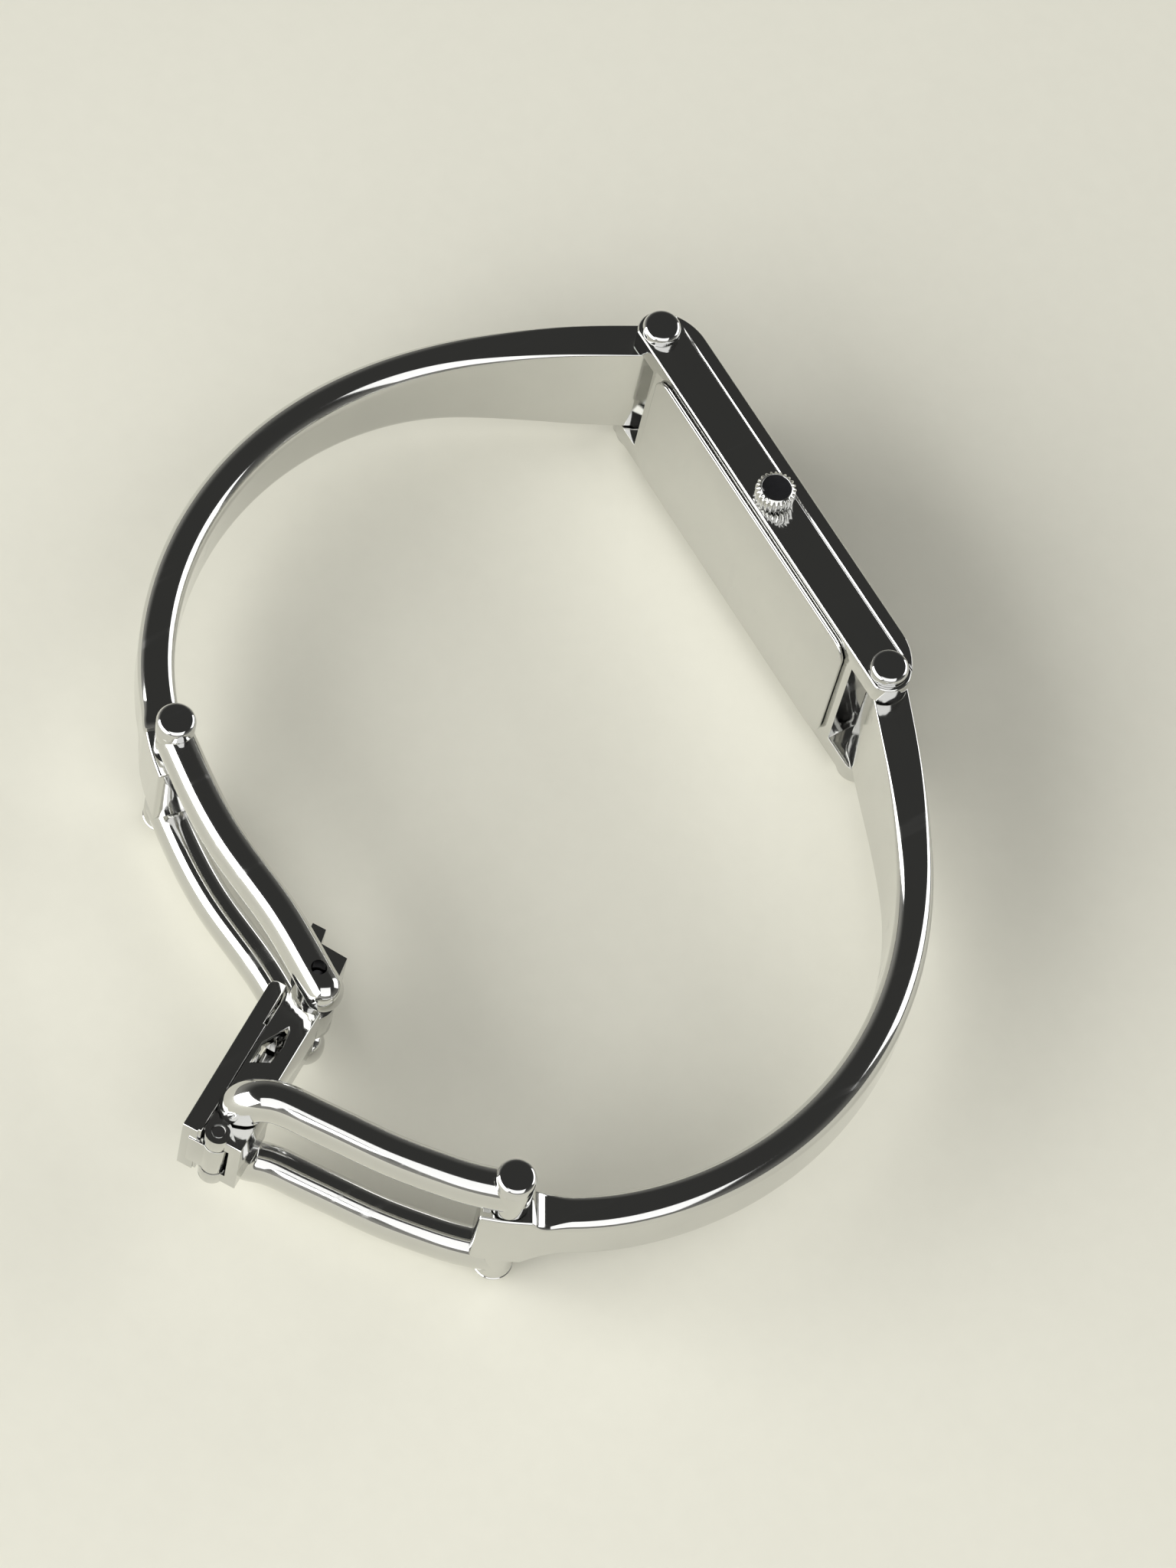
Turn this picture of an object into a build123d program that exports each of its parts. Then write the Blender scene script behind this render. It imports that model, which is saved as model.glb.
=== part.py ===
from build123d import *
from math import atan2, cos, radians, sin, sqrt
import os

# A slim bangle watch.  The origin is the middle of the case back's outer face, +Y points out
# through the dial, +X to twelve o'clock and +Z to the crown, so the bangle loop lies in XY.

# fits and small edges
run_gap = 0.05
seat_gap = 0.02
tooth_gap = 0.05
edge_break = 0.1
fine_break = 0.05

# case: side profile and widths
hinge_height = 1.9
lug_reach = 1.94
lug_width = 1.75
case_width = 13.8
end_wall = 1.85
side_wall = 2.0
case_foot = 0.35
seam_height = 3.45
front_height = 4.5
lug_radius = 1.7
shoulder_radius = 4.5

# case: inside
cavity_length = 23.8
cavity_corner = 0.8
back_plate_end_margin = 0.95
back_plate_side_margin = 1.3
back_plate_corner = 1.4
spigot_wall = 0.85
spigot_top = 1.0
back_floor = 0.5
back_seal_offset = 0.4
back_seal_width = 0.4
back_seal_height = 0.3
tube_hole_radius = 0.75

# crystal and bezel
bezel_ledge_height = 0.4
crystal_end_gap = 0.05
crystal_side_overlap = 0.1
crystal_corner = 0.7
crystal_thickness = 0.75
crystal_seal = 0.15
crystal_seal_height = 0.5
window_margin = 0.6
window_corner = 0.4

# dial and hands
dial_gap = 0.1
dial_corner = 0.7
dial_thickness = 0.2
dial_hole_radius = 0.6
mark_height = 0.07
mark_length = 0.9
mark_width = 0.22
mark_end_margin = 1.6
mark_side_margin = 1.2
mark_slope_share = 0.05
hour_count = 12
hour_hand_length = 2.6
hour_hand_width = 0.5
hour_hand_height = 3.4
minute_hand_length = 3.8
minute_hand_width = 0.4
minute_hand_height = 3.6
hand_thickness = 0.1
hand_tail = 0.9
hand_eye_radius = 0.75
hand_tip_share = 0.25
minute_now = 54
hour_now = 304.5

# movement
movement_gap = 0.2
movement_corner = 0.6
plate_back = 1.0
plate_front = 2.6
dial_seat = 3.0
plate_rim = 0.6
train_pocket_end_wall = 1.5
train_pocket_front_x = 2.2
train_pocket_low_z = -2.9
train_pocket_high_z = 3.2
train_pocket_floor = 2.45
board_thickness = 0.22
board_end_margin = 1.0
board_strap_gap = 0.3
board_half_width = 3.7
bridge_back_x = -7.0
bridge_front_margin = 0.6
bridge_low_z = -3.3
bridge_high_z = 1.7
bridge_gap = 0.1
battery_radius = 2.9
battery_height = 1.25
battery_end_distance = 4.5
battery_step_radius = 2.5
battery_step = 0.15
strap_overhang = 0.8
strap_width = 1.4
strap_thickness = 0.14
chip_size = 1.1
chip_thickness = 0.45
chip_end_distance = 2.8
chip_z = -2.2
quartz_radius = 0.55
quartz_length = 3.4
quartz_x = -4.3
quartz_z = -3.75
quartz_height = 1.65

# stepping motor
core_back = 1.5
core_thickness = 0.45
core_width = 0.7
core_z = 2.4
stator_end_distance = 1.9
stator_right = -4.7
stator_leg = 0.6
stator_low_z = -1.6
stator_high_z = 0.2
stator_thickness = 0.35
rotor_gap = 0.15
coil_radius = 0.68
coil_end_gap = 0.2

# wheel train: pitch radii, layers and the directions from one arbor to the next
centre_wheel_radius = 1.7
third_wheel_radius = 1.5
intermediate_wheel_radius = 1.6
pinion_radius = 0.35
rotor_radius = 0.6
wheel_thickness = 0.15
pinion_height = 0.25
arbor_radius = 0.18
arbor_back = 1.05
arbor_front = 2.45
third_direction = 200
intermediate_direction = 185
rotor_direction = 175
intermediate_layer = 1.35
third_layer = 1.7
centre_layer = 2.05
centre_arbor_radius = 0.3
centre_arbor_top = 3.76
tooth_depth = 0.08
centre_teeth = 40
third_teeth = 36
intermediate_teeth = 38
pinion_teeth = 8

# motion work under the dial
cannon_radius = 0.42
minute_wheel_radius = 1.08
minute_pinion_radius = 0.3
hour_wheel_radius = 1.2
minute_teeth = 24
hour_teeth = 32
motion_low_layer = 2.65
motion_high_layer = 2.82
motion_thickness = 0.1
minute_wheel_direction = 300
hour_tube_radius = 0.5
hour_tube_bore = 0.36
minute_arbor_radius = 0.14

# crown, stem and setting lever
crown_radius = 1.5
crown_gap = 0.1
crown_height = 1.5
crown_flutes = 24
flute_radius = 0.15
crown_recess_radius = 0.95
crown_recess_depth = 0.75
inset_radius = 1.08
inset_thickness = 0.22
inset_sink = 0.05
stem_radius = 0.42
stem_depth = 2.6
stem_grip = 1.0
stem_neck_radius = 0.3
stem_neck_distance = 0.55
stem_neck_length = 0.4
tube_bore = 0.5
tube_inset = 0.3
tube_reach = 0.45
crown_seal_z = 7.12
crown_seal_height = 0.25
lever_width = 1.8
lever_low = 1.15
lever_high = 2.3
lever_thickness = 0.2
stem_pocket_width = 2.2

# hinge pins with their flat caps
pin_radius = 0.6
pin_cap_radius = 1.4
pin_cap_stand = 0.85
pin_end_depth = 0.4
cap_edge = 0.3
clasp_pin_radius = 0.5
clasp_pin_shoulder_radius = 0.75
clasp_pin_sink = 1.4

# bangle arms: the centreline is a short straight followed by three arcs
upper_heading = -21.28
lower_heading = 242.54
arm_thickness = 2.62
arm_offset = 0.36
arm_straight = 5.9
arm_radius_one = 73.0
arm_angle_one = 5.6
arm_radius_two = 26.5
arm_angle_two = 78.8
arm_radius_three = 21.2
arm_angle_three = 15.0
arm_side_gap = 0.15

# arm width and edge rounding along the centreline, all as shares
arm_station_shares = (0.0, 0.1, 0.2, 0.3, 0.4, 0.52, 0.66, 0.82, 1.0)
arm_width_shares = (1.0, 0.975, 0.86, 0.73, 0.67, 0.63, 0.59, 0.53, 0.46)
arm_edge_shares = (0.03, 0.04, 0.1, 0.19, 0.27, 0.3, 0.28, 0.22, 0.14)

# arm head that sits between the legs of a link
head_advance = 3.468
head_angle = 7.6
head_gap = 0.15
head_reach = 1.9
head_outer = 1.85
head_inner = 1.35
head_shoulder_share = 0.25
head_root = 4.8
head_root_outer = 0.1
head_root_inner = 2.1
head_neck = 2.8
head_neck_width = 4.7
head_flare = 1.3
head_edge = 0.25

# links: two legs between a hinge pin and the clasp
link_inset = 0.3
leg_width = 3.2
leg_thickness = 2.75
leg_round = 1.1
upper_leg_shares = (0.133, 0.29, 0.472, 0.663, 0.843)
upper_leg_bows = (0.404, 0.575, 0.572, 0.3, 0.009)
elbow_heading = -126.9
lower_leg_shares = (0.206, 0.427, 0.702)
lower_leg_bows = (-0.464, -0.547, 0.022)
lower_leg_tip = (1.09, -0.11)
elbow_turn_radius = 1.68
bar_radius = 0.95

# clasp: along runs from the lower link to the upper one, across runs from outside to wrist
clasp_start = (15.28, -47.63)
clasp_heading = -57.8
clasp_gap = 0.35
cheek_thickness = 1.15
cover_length = 12.75
cover_thickness = 1.15
cover_side_thickness = 1.35
cover_side_start = 3.3
frame_top = 1.4
frame_floor = 4.1
floor_thickness = 0.55
frame_end = 12.6
end_relief = 0.3
lower_pivot = (-0.675, 2.94)
bar_pivot = (9.75, 2.95)
cover_pivot = (12.1, 2.4)
scoop_radius = 1.8
eye_radius = 1.6
eye_gap = 0.25
hook_end_depth = 4.4
hook_start = 8.2
window_points = ((4.63, 1.75), (2.75, 2.77), (2.97, 2.94), (4.31, 3.11), (5.70, 2.95), (6.35, 1.75))
tail_points = ((-1.2, 1.5), (-2.6, 0.5), (-5.8, 0.2), (-5.8, 1.25), (-4.7, 1.45), (-4.6, 3.55), (-1.4, 3.9))
cover_pin_radius = 0.5
cover_boss_radius = 0.95
cover_boss_height = 0.22
cover_knuckle_radius = 0.95
cover_knuckle_gap = 0.2
latch_position = 1.9
latch_length = 0.9
latch_depth = 1.0
spring_thickness = 0.2
spring_start = 2.4
spring_end = 7.6
spring_side_gap = 0.3

# values that follow from the above
end_wall_x = cavity_length / 2 + end_wall
pin_x = end_wall_x + lug_reach
case_half = case_width / 2
lug_gap_width = case_width - 2 * lug_width
cavity_width = case_width - 2 * side_wall
back_plate_length = cavity_length + 2 * back_plate_end_margin
back_plate_width = cavity_width + 2 * back_plate_side_margin
crystal_length = cavity_length - 2 * crystal_end_gap
crystal_width = cavity_width + 2 * crystal_side_overlap
window_length = cavity_length - 2 * window_margin
window_width = cavity_width - 2 * window_margin
dial_length = cavity_length - 2 * dial_gap
dial_width = cavity_width - 2 * dial_gap
mark_reach_x = dial_length / 2 - mark_end_margin
mark_reach_z = dial_width / 2 - mark_side_margin
movement_length = cavity_length - 2 * movement_gap
movement_width = cavity_width - 2 * movement_gap
movement_half = movement_length / 2
train_pocket_back_x = train_pocket_end_wall - movement_half
board_back_x = board_end_margin - movement_half
chip_x = chip_end_distance - movement_half
stator_left = stator_end_distance - movement_half
battery_x = movement_half - battery_end_distance
strap_length = 2 * (battery_radius + strap_overhang)
board_front_x = battery_x - strap_length / 2 - board_strap_gap
bridge_front_x = board_front_x - bridge_front_margin
arm_root_width = lug_gap_width - 2 * arm_side_gap
crown_foot = case_half + crown_gap
crown_top = crown_foot + crown_height
tube_inner_z = cavity_width / 2 + tube_inset
tube_outer_z = crown_foot + tube_reach
stem_inner_z = movement_width / 2 - stem_depth
stem_outer_z = crown_foot + stem_grip
stem_neck_z = stem_inner_z + stem_neck_distance
pin_cap_top = case_half + pin_cap_stand
link_half = case_half - link_inset
slot_half = link_half - leg_width
clasp_pin_end = link_half - clasp_pin_sink
head_width = 2 * (slot_half - head_gap)
clasp_half = slot_half - clasp_gap
cheek_inside = clasp_half - cheek_thickness
eye_half = cheek_inside - eye_gap
cover_knuckle_width = 2 * (cheek_inside - cover_knuckle_gap)
spring_width = 2 * (cheek_inside - spring_side_gap)
shoulder_y = front_height - shoulder_radius
shoulder_x = pin_x - sqrt((shoulder_radius - lug_radius) ** 2 - (hinge_height - shoulder_y) ** 2)
shoulder_angle = atan2(hinge_height - shoulder_y, pin_x - shoulder_x)
foot_x = pin_x + sqrt(lug_radius ** 2 - (hinge_height - case_foot) ** 2)
crystal_back = seam_height + bezel_ledge_height


def layer(height):
    # a plane facing the case back at a height above it, x to twelve o'clock and y to the crown
    return Plane(origin=(0, height, 0), x_dir=(1, 0, 0), z_dir=(0, -1, 0))


def placed(plane, x, y, heading):
    # the plane moved to a point in it and turned in itself
    turn = radians(heading)
    side = plane.x_dir * cos(turn) + plane.y_dir * sin(turn)
    return Plane(origin=plane.from_local_coords(Vector(x, y, 0)), x_dir=side, z_dir=plane.z_dir)


def save(shape, name):
    shape.label = name
    export_step(shape, "parts/" + name + ".step")


os.makedirs("parts", exist_ok=True)

# the case's side outline, one half and its mirror image
with BuildSketch() as case_outline:
    with BuildLine():
        Line((0, case_foot), (foot_x, case_foot))
        ThreePointArc(
            (foot_x, case_foot),
            (pin_x + lug_radius, hinge_height),
            (pin_x + lug_radius * cos(shoulder_angle), hinge_height + lug_radius * sin(shoulder_angle)),
        )
        middle_angle = (shoulder_angle + radians(90)) / 2
        middle_x = shoulder_x + shoulder_radius * cos(middle_angle)
        middle_y = shoulder_y + shoulder_radius * sin(middle_angle)
        ThreePointArc(
            (pin_x + lug_radius * cos(shoulder_angle), hinge_height + lug_radius * sin(shoulder_angle)),
            (middle_x, middle_y),
            (shoulder_x, front_height),
        )
        Line((shoulder_x, front_height), (0, front_height))
        Line((0, front_height), (0, case_foot))
    make_face()
    mirror(about=Plane.YZ)

# case middle with two lugs at each end
with BuildPart() as case_middle:
    with BuildSketch():
        add(case_outline.sketch)
        with Locations((0, front_height)):
            Rectangle(4 * pin_x, 2 * (front_height - seam_height), mode=Mode.SUBTRACT)
    extrude(amount=case_half, both=True)
    chamfer(case_middle.faces().filter_by(Axis.Z).edges(), edge_break)
    with BuildSketch(layer(front_height)):
        with Locations((end_wall_x + pin_x, 0), (-end_wall_x - pin_x, 0)):
            Rectangle(2 * pin_x, lug_gap_width)
    extrude(amount=front_height, mode=Mode.SUBTRACT)
    with BuildSketch(layer(seam_height)):
        RectangleRounded(cavity_length, cavity_width, cavity_corner)
    extrude(amount=seam_height, mode=Mode.SUBTRACT)
    with BuildSketch(layer(case_foot + back_seal_height)):
        seal_corner = cavity_corner + back_seal_offset
        seal_length = cavity_length + 2 * back_seal_offset
        seal_width = cavity_width + 2 * back_seal_offset
        RectangleRounded(
            seal_length + 2 * back_seal_width, seal_width + 2 * back_seal_width, seal_corner + back_seal_width
        )
        RectangleRounded(seal_length, seal_width, seal_corner, mode=Mode.SUBTRACT)
    extrude(amount=back_seal_height, mode=Mode.SUBTRACT)
    with BuildSketch():
        with Locations((pin_x, hinge_height), (-pin_x, hinge_height)):
            Circle(pin_radius + seat_gap)
    extrude(amount=case_half, both=True, mode=Mode.SUBTRACT)
    with BuildSketch():
        with Locations((0, hinge_height)):
            Circle(tube_hole_radius + seat_gap)
    extrude(amount=case_half, mode=Mode.SUBTRACT)
save(case_middle.part, "case_middle")

# bezel with the window, a seat for the crystal and a ledge below it
with BuildPart() as bezel:
    with BuildSketch():
        add(case_outline.sketch)
        Rectangle(4 * pin_x, 2 * seam_height, mode=Mode.SUBTRACT)
    extrude(amount=case_half, both=True)
    chamfer(bezel.faces().filter_by(Axis.Z).edges(), edge_break)
    with BuildSketch(layer(front_height)):
        with Locations((end_wall_x + pin_x, 0), (-end_wall_x - pin_x, 0)):
            Rectangle(2 * pin_x, lug_gap_width)
    extrude(amount=front_height, mode=Mode.SUBTRACT)
    with BuildSketch(layer(front_height)):
        RectangleRounded(
            crystal_length + 2 * crystal_seal, crystal_width + 2 * crystal_seal, crystal_corner + crystal_seal
        )
    extrude(amount=front_height - crystal_back, mode=Mode.SUBTRACT)
    with BuildSketch(layer(front_height)):
        RectangleRounded(window_length, window_width, window_corner)
    extrude(amount=front_height, mode=Mode.SUBTRACT)
save(bezel.part, "bezel")

# crystal with bevelled upper edges, and the seal around it
with BuildPart() as crystal:
    with BuildSketch(layer(crystal_back + crystal_thickness)):
        RectangleRounded(crystal_length, crystal_width, crystal_corner)
    extrude(amount=crystal_thickness)
    chamfer(crystal.faces().sort_by(Axis.Y)[-1].edges(), edge_break)
save(crystal.part, "crystal")

with BuildPart() as crystal_seal_ring:
    with BuildSketch(layer(crystal_back + crystal_seal_height)):
        RectangleRounded(
            crystal_length + 2 * crystal_seal, crystal_width + 2 * crystal_seal, crystal_corner + crystal_seal
        )
        RectangleRounded(crystal_length, crystal_width, crystal_corner, mode=Mode.SUBTRACT)
    extrude(amount=crystal_seal_height)
save(crystal_seal_ring.part, "crystal_gasket")

# case back: raised plate outside, spigot inside, seal in the case's groove
with BuildPart() as case_back:
    with BuildSketch(layer(case_foot)):
        RectangleRounded(back_plate_length, back_plate_width, back_plate_corner)
    extrude(amount=case_foot)
    fillet(case_back.faces().sort_by(Axis.Y)[0].edges(), edge_break)
    with BuildSketch(layer(spigot_top)):
        RectangleRounded(cavity_length - 2 * run_gap, cavity_width - 2 * run_gap, cavity_corner - run_gap)
    extrude(amount=spigot_top - case_foot)
    with BuildSketch(layer(spigot_top)):
        RectangleRounded(
            cavity_length - 2 * run_gap - 2 * spigot_wall,
            cavity_width - 2 * run_gap - 2 * spigot_wall,
            cavity_corner / 2,
        )
    extrude(amount=spigot_top - back_floor, mode=Mode.SUBTRACT)
save(case_back.part, "case_back")

with BuildPart() as back_seal:
    with BuildSketch(layer(case_foot + back_seal_height)):
        RectangleRounded(
            seal_length + 2 * back_seal_width, seal_width + 2 * back_seal_width, seal_corner + back_seal_width
        )
        RectangleRounded(seal_length, seal_width, seal_corner, mode=Mode.SUBTRACT)
    extrude(amount=back_seal_height)
save(back_seal.part, "back_gasket")

# dial with raised hour bars, and the ring that clamps it under the bezel
with BuildPart() as dial:
    with BuildSketch(layer(dial_seat + dial_thickness)):
        RectangleRounded(dial_length, dial_width, dial_corner)
        Circle(dial_hole_radius, mode=Mode.SUBTRACT)
    extrude(amount=dial_thickness)
    with BuildSketch(layer(dial_seat + dial_thickness + mark_height)):
        for hour in range(hour_count):
            angle = 360 * hour / hour_count
            reach = min(
                mark_reach_x / max(abs(cos(radians(angle))), mark_slope_share),
                mark_reach_z / max(abs(sin(radians(angle))), mark_slope_share),
            )
            with Locations(Location((reach * cos(radians(angle)), reach * sin(radians(angle))), angle)):
                Rectangle(mark_length, mark_width)
    extrude(amount=mark_height)
save(dial.part, "dial")

with BuildPart() as dial_ring:
    with BuildSketch(layer(seam_height)):
        RectangleRounded(dial_length, dial_width, dial_corner)
        RectangleRounded(window_length, window_width, window_corner, mode=Mode.SUBTRACT)
    extrude(amount=seam_height - dial_seat - dial_thickness)
save(dial_ring.part, "dial_ring")


def hand_outline(length, width, hole, heading):
    # a tapered hand with a short tail and a round eye
    with BuildSketch() as outline:
        with BuildLine():
            Polyline(
                (-hand_tail, -width / 2),
                (length - width, -width * hand_tip_share),
                (length, 0),
                (length - width, width * hand_tip_share),
                (-hand_tail, width / 2),
                (-hand_tail, -width / 2),
            )
        make_face()
        Circle(hand_eye_radius)
        Circle(hole, mode=Mode.SUBTRACT)
    return outline.sketch.rotate(Axis.Z, heading)


with BuildPart() as hour_hand:
    with BuildSketch(layer(hour_hand_height + hand_thickness)):
        add(hand_outline(hour_hand_length, hour_hand_width, hour_tube_radius, hour_now))
    extrude(amount=hand_thickness)
save(hour_hand.part, "hour_hand")

with BuildPart() as minute_hand:
    with BuildSketch(layer(minute_hand_height + hand_thickness)):
        add(hand_outline(minute_hand_length, minute_hand_width, centre_arbor_radius, minute_now))
    extrude(amount=hand_thickness)
save(minute_hand.part, "minute_hand")

# where the arbors stand
third_distance = centre_wheel_radius + pinion_radius + tooth_gap
third_x = third_distance * cos(radians(third_direction))
third_z = third_distance * sin(radians(third_direction))
intermediate_distance = third_wheel_radius + pinion_radius + tooth_gap
intermediate_x = third_x + intermediate_distance * cos(radians(intermediate_direction))
intermediate_z = third_z + intermediate_distance * sin(radians(intermediate_direction))
rotor_distance = intermediate_wheel_radius + pinion_radius + tooth_gap
rotor_x = intermediate_x + rotor_distance * cos(radians(rotor_direction))
rotor_z = intermediate_z + rotor_distance * sin(radians(rotor_direction))
minute_distance = cannon_radius + minute_wheel_radius + tooth_gap
minute_x = minute_distance * cos(radians(minute_wheel_direction))
minute_z = minute_distance * sin(radians(minute_wheel_direction))
train_points = ((third_x, third_z), (intermediate_x, intermediate_z), (rotor_x, rotor_z))

# movement plate: pockets on the back, a rim under the dial on the front
with BuildPart() as movement_plate:
    with BuildSketch(layer(dial_seat)):
        RectangleRounded(movement_length, movement_width, movement_corner)
    extrude(amount=dial_seat - plate_back)
    with BuildSketch(layer(dial_seat)):
        RectangleRounded(movement_length - 2 * plate_rim, movement_width - 2 * plate_rim, movement_corner)
    extrude(amount=dial_seat - plate_front, mode=Mode.SUBTRACT)
    with BuildSketch(layer(train_pocket_floor)):
        with Locations(
            (
                (train_pocket_back_x + train_pocket_front_x) / 2,
                (train_pocket_low_z + train_pocket_high_z) / 2,
            )
        ):
            RectangleRounded(
                train_pocket_front_x - train_pocket_back_x,
                train_pocket_high_z - train_pocket_low_z,
                movement_corner / 2,
            )
        with Locations((0, train_pocket_high_z)):
            Rectangle(stem_pocket_width, movement_width)
    extrude(amount=train_pocket_floor - plate_back, mode=Mode.SUBTRACT)
    with BuildSketch(layer(plate_back + battery_height + run_gap)):
        with Locations((battery_x, 0)):
            Circle(battery_radius + run_gap)
    extrude(amount=battery_height + run_gap, mode=Mode.SUBTRACT)
    with BuildSketch(layer(quartz_height + quartz_radius + run_gap)):
        with Locations((quartz_x, quartz_z)):
            Rectangle(quartz_length + 2 * run_gap, 2 * quartz_radius + 2 * run_gap)
    extrude(amount=quartz_height + quartz_radius + run_gap - plate_back, mode=Mode.SUBTRACT)
    with BuildSketch(layer(dial_seat)):
        with Locations(*train_points):
            Circle(arbor_radius + run_gap)
        with Locations((minute_x, minute_z)):
            Circle(minute_arbor_radius + run_gap)
        Circle(centre_arbor_radius + run_gap)
    extrude(amount=dial_seat - plate_back, mode=Mode.SUBTRACT)
save(movement_plate.part, "movement_plate")

# bridge over the wheel train, and the circuit board around it
with BuildPart() as train_bridge:
    with BuildSketch(layer(plate_back)):
        with Locations(((bridge_back_x + bridge_front_x) / 2, (bridge_low_z + bridge_high_z) / 2)):
            RectangleRounded(bridge_front_x - bridge_back_x, bridge_high_z - bridge_low_z, movement_corner)
    extrude(amount=board_thickness)
    fillet(train_bridge.faces().sort_by(Axis.Y)[0].edges(), fine_break)
save(train_bridge.part, "train_bridge")

with BuildPart() as circuit_board:
    with BuildSketch(layer(plate_back)):
        with Locations(((board_back_x + board_front_x) / 2, 0)):
            RectangleRounded(board_front_x - board_back_x, 2 * board_half_width, movement_corner)
        with Locations(((bridge_back_x + bridge_front_x) / 2, (bridge_low_z + bridge_high_z) / 2)):
            RectangleRounded(
                bridge_front_x - bridge_back_x + 2 * bridge_gap,
                bridge_high_z - bridge_low_z + 2 * bridge_gap,
                movement_corner + bridge_gap,
                mode=Mode.SUBTRACT,
            )
    extrude(amount=board_thickness)
save(circuit_board.part, "circuit_board")

with BuildPart() as driver_chip:
    with BuildSketch(layer(plate_back + chip_thickness)):
        with Locations((chip_x, chip_z)):
            Rectangle(chip_size, chip_size)
    extrude(amount=chip_thickness)
    chamfer(driver_chip.faces().sort_by(Axis.Y)[-1].edges(), fine_break)
save(driver_chip.part, "driver_chip")

with BuildPart() as quartz_can:
    with BuildSketch(Plane.YZ.offset(quartz_x - quartz_length / 2)):
        with Locations((quartz_height, quartz_z)):
            Circle(quartz_radius)
    extrude(amount=quartz_length)
    fillet(quartz_can.edges(), fine_break)
save(quartz_can.part, "quartz_can")

with BuildPart() as battery:
    with BuildSketch(layer(plate_back + battery_height)):
        with Locations((battery_x, 0)):
            Circle(battery_radius)
    extrude(amount=battery_height - battery_step)
    with BuildSketch(layer(plate_back + battery_step)):
        with Locations((battery_x, 0)):
            Circle(battery_step_radius)
    extrude(amount=battery_step)
    fillet(battery.faces().sort_by(Axis.Y)[-1].edges(), edge_break)
save(battery.part, "battery")

with BuildPart() as battery_strap:
    with BuildSketch(layer(plate_back)):
        with Locations((battery_x, 0)):
            SlotOverall(strap_length, strap_width)
    extrude(amount=strap_thickness)
save(battery_strap.part, "battery_strap")

# stepping motor: core, winding, stator and rotor
core_length = stator_right - stator_left
core_middle = (stator_right + stator_left) / 2
coil_length = core_length - 2 * stator_leg - 2 * coil_end_gap
with BuildPart() as coil_core:
    with BuildSketch(layer(core_back + core_thickness)):
        with Locations((core_middle, core_z)):
            Rectangle(core_length, core_width)
    extrude(amount=core_thickness)
save(coil_core.part, "coil_core")

with BuildPart() as coil:
    with BuildSketch(Plane.YZ.offset(core_middle - coil_length / 2)):
        with Locations((core_back + core_thickness / 2, core_z)):
            Circle(coil_radius)
            Rectangle(core_thickness, core_width, mode=Mode.SUBTRACT)
    extrude(amount=coil_length)
    fillet(coil.edges().filter_by(GeomType.CIRCLE), edge_break)
save(coil.part, "coil")

with BuildPart() as stator:
    with BuildSketch(layer(core_back + core_thickness + stator_thickness)):
        with Locations((core_middle, (stator_low_z + stator_high_z) / 2)):
            Rectangle(core_length, stator_high_z - stator_low_z)
        leg_top = core_z + core_width / 2
        leg_middle = (leg_top + stator_low_z) / 2
        leg_left = stator_left + stator_leg / 2
        leg_right = stator_right - stator_leg / 2
        with Locations((leg_left, leg_middle), (leg_right, leg_middle)):
            Rectangle(stator_leg, leg_top - stator_low_z)
        with Locations((rotor_x, rotor_z)):
            Circle(rotor_radius + rotor_gap, mode=Mode.SUBTRACT)
    extrude(amount=stator_thickness)
save(stator.part, "stator")


def toothed(radius, count):
    # a disc whose rim carries shallow pointed teeth, all inside the given radius
    points = []
    for step in range(2 * count):
        angle = radians(180 * step / count)
        reach = radius - (step % 2) * tooth_depth
        points.append((reach * cos(angle), reach * sin(angle)))
    return points


with BuildPart() as rotor:
    with BuildSketch(layer(arbor_front)):
        with Locations((rotor_x, rotor_z)):
            Circle(arbor_radius)
    extrude(amount=arbor_front - arbor_back)
    with BuildSketch(layer(core_back + core_thickness + stator_thickness)):
        with Locations((rotor_x, rotor_z)):
            Circle(rotor_radius)
    extrude(amount=stator_thickness)
    with BuildSketch(layer(intermediate_layer + pinion_height)):
        with Locations((rotor_x, rotor_z)):
            Polygon(*toothed(pinion_radius, pinion_teeth), align=None)
    extrude(amount=pinion_height)
save(rotor.part, "rotor")

with BuildPart() as intermediate_wheel:
    with BuildSketch(layer(arbor_front)):
        with Locations((intermediate_x, intermediate_z)):
            Circle(arbor_radius)
    extrude(amount=arbor_front - arbor_back)
    with BuildSketch(layer(intermediate_layer + wheel_thickness)):
        with Locations((intermediate_x, intermediate_z)):
            Polygon(*toothed(intermediate_wheel_radius, intermediate_teeth), align=None)
    extrude(amount=wheel_thickness)
    with BuildSketch(layer(third_layer + pinion_height)):
        with Locations((intermediate_x, intermediate_z)):
            Polygon(*toothed(pinion_radius, pinion_teeth), align=None)
    extrude(amount=pinion_height)
save(intermediate_wheel.part, "intermediate_wheel")

with BuildPart() as third_wheel:
    with BuildSketch(layer(arbor_front)):
        with Locations((third_x, third_z)):
            Circle(arbor_radius)
    extrude(amount=arbor_front - arbor_back)
    with BuildSketch(layer(third_layer + wheel_thickness)):
        with Locations((third_x, third_z)):
            Polygon(*toothed(third_wheel_radius, third_teeth), align=None)
    extrude(amount=wheel_thickness)
    with BuildSketch(layer(centre_layer + pinion_height)):
        with Locations((third_x, third_z)):
            Polygon(*toothed(pinion_radius, pinion_teeth), align=None)
    extrude(amount=pinion_height)
save(third_wheel.part, "third_wheel")

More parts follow.
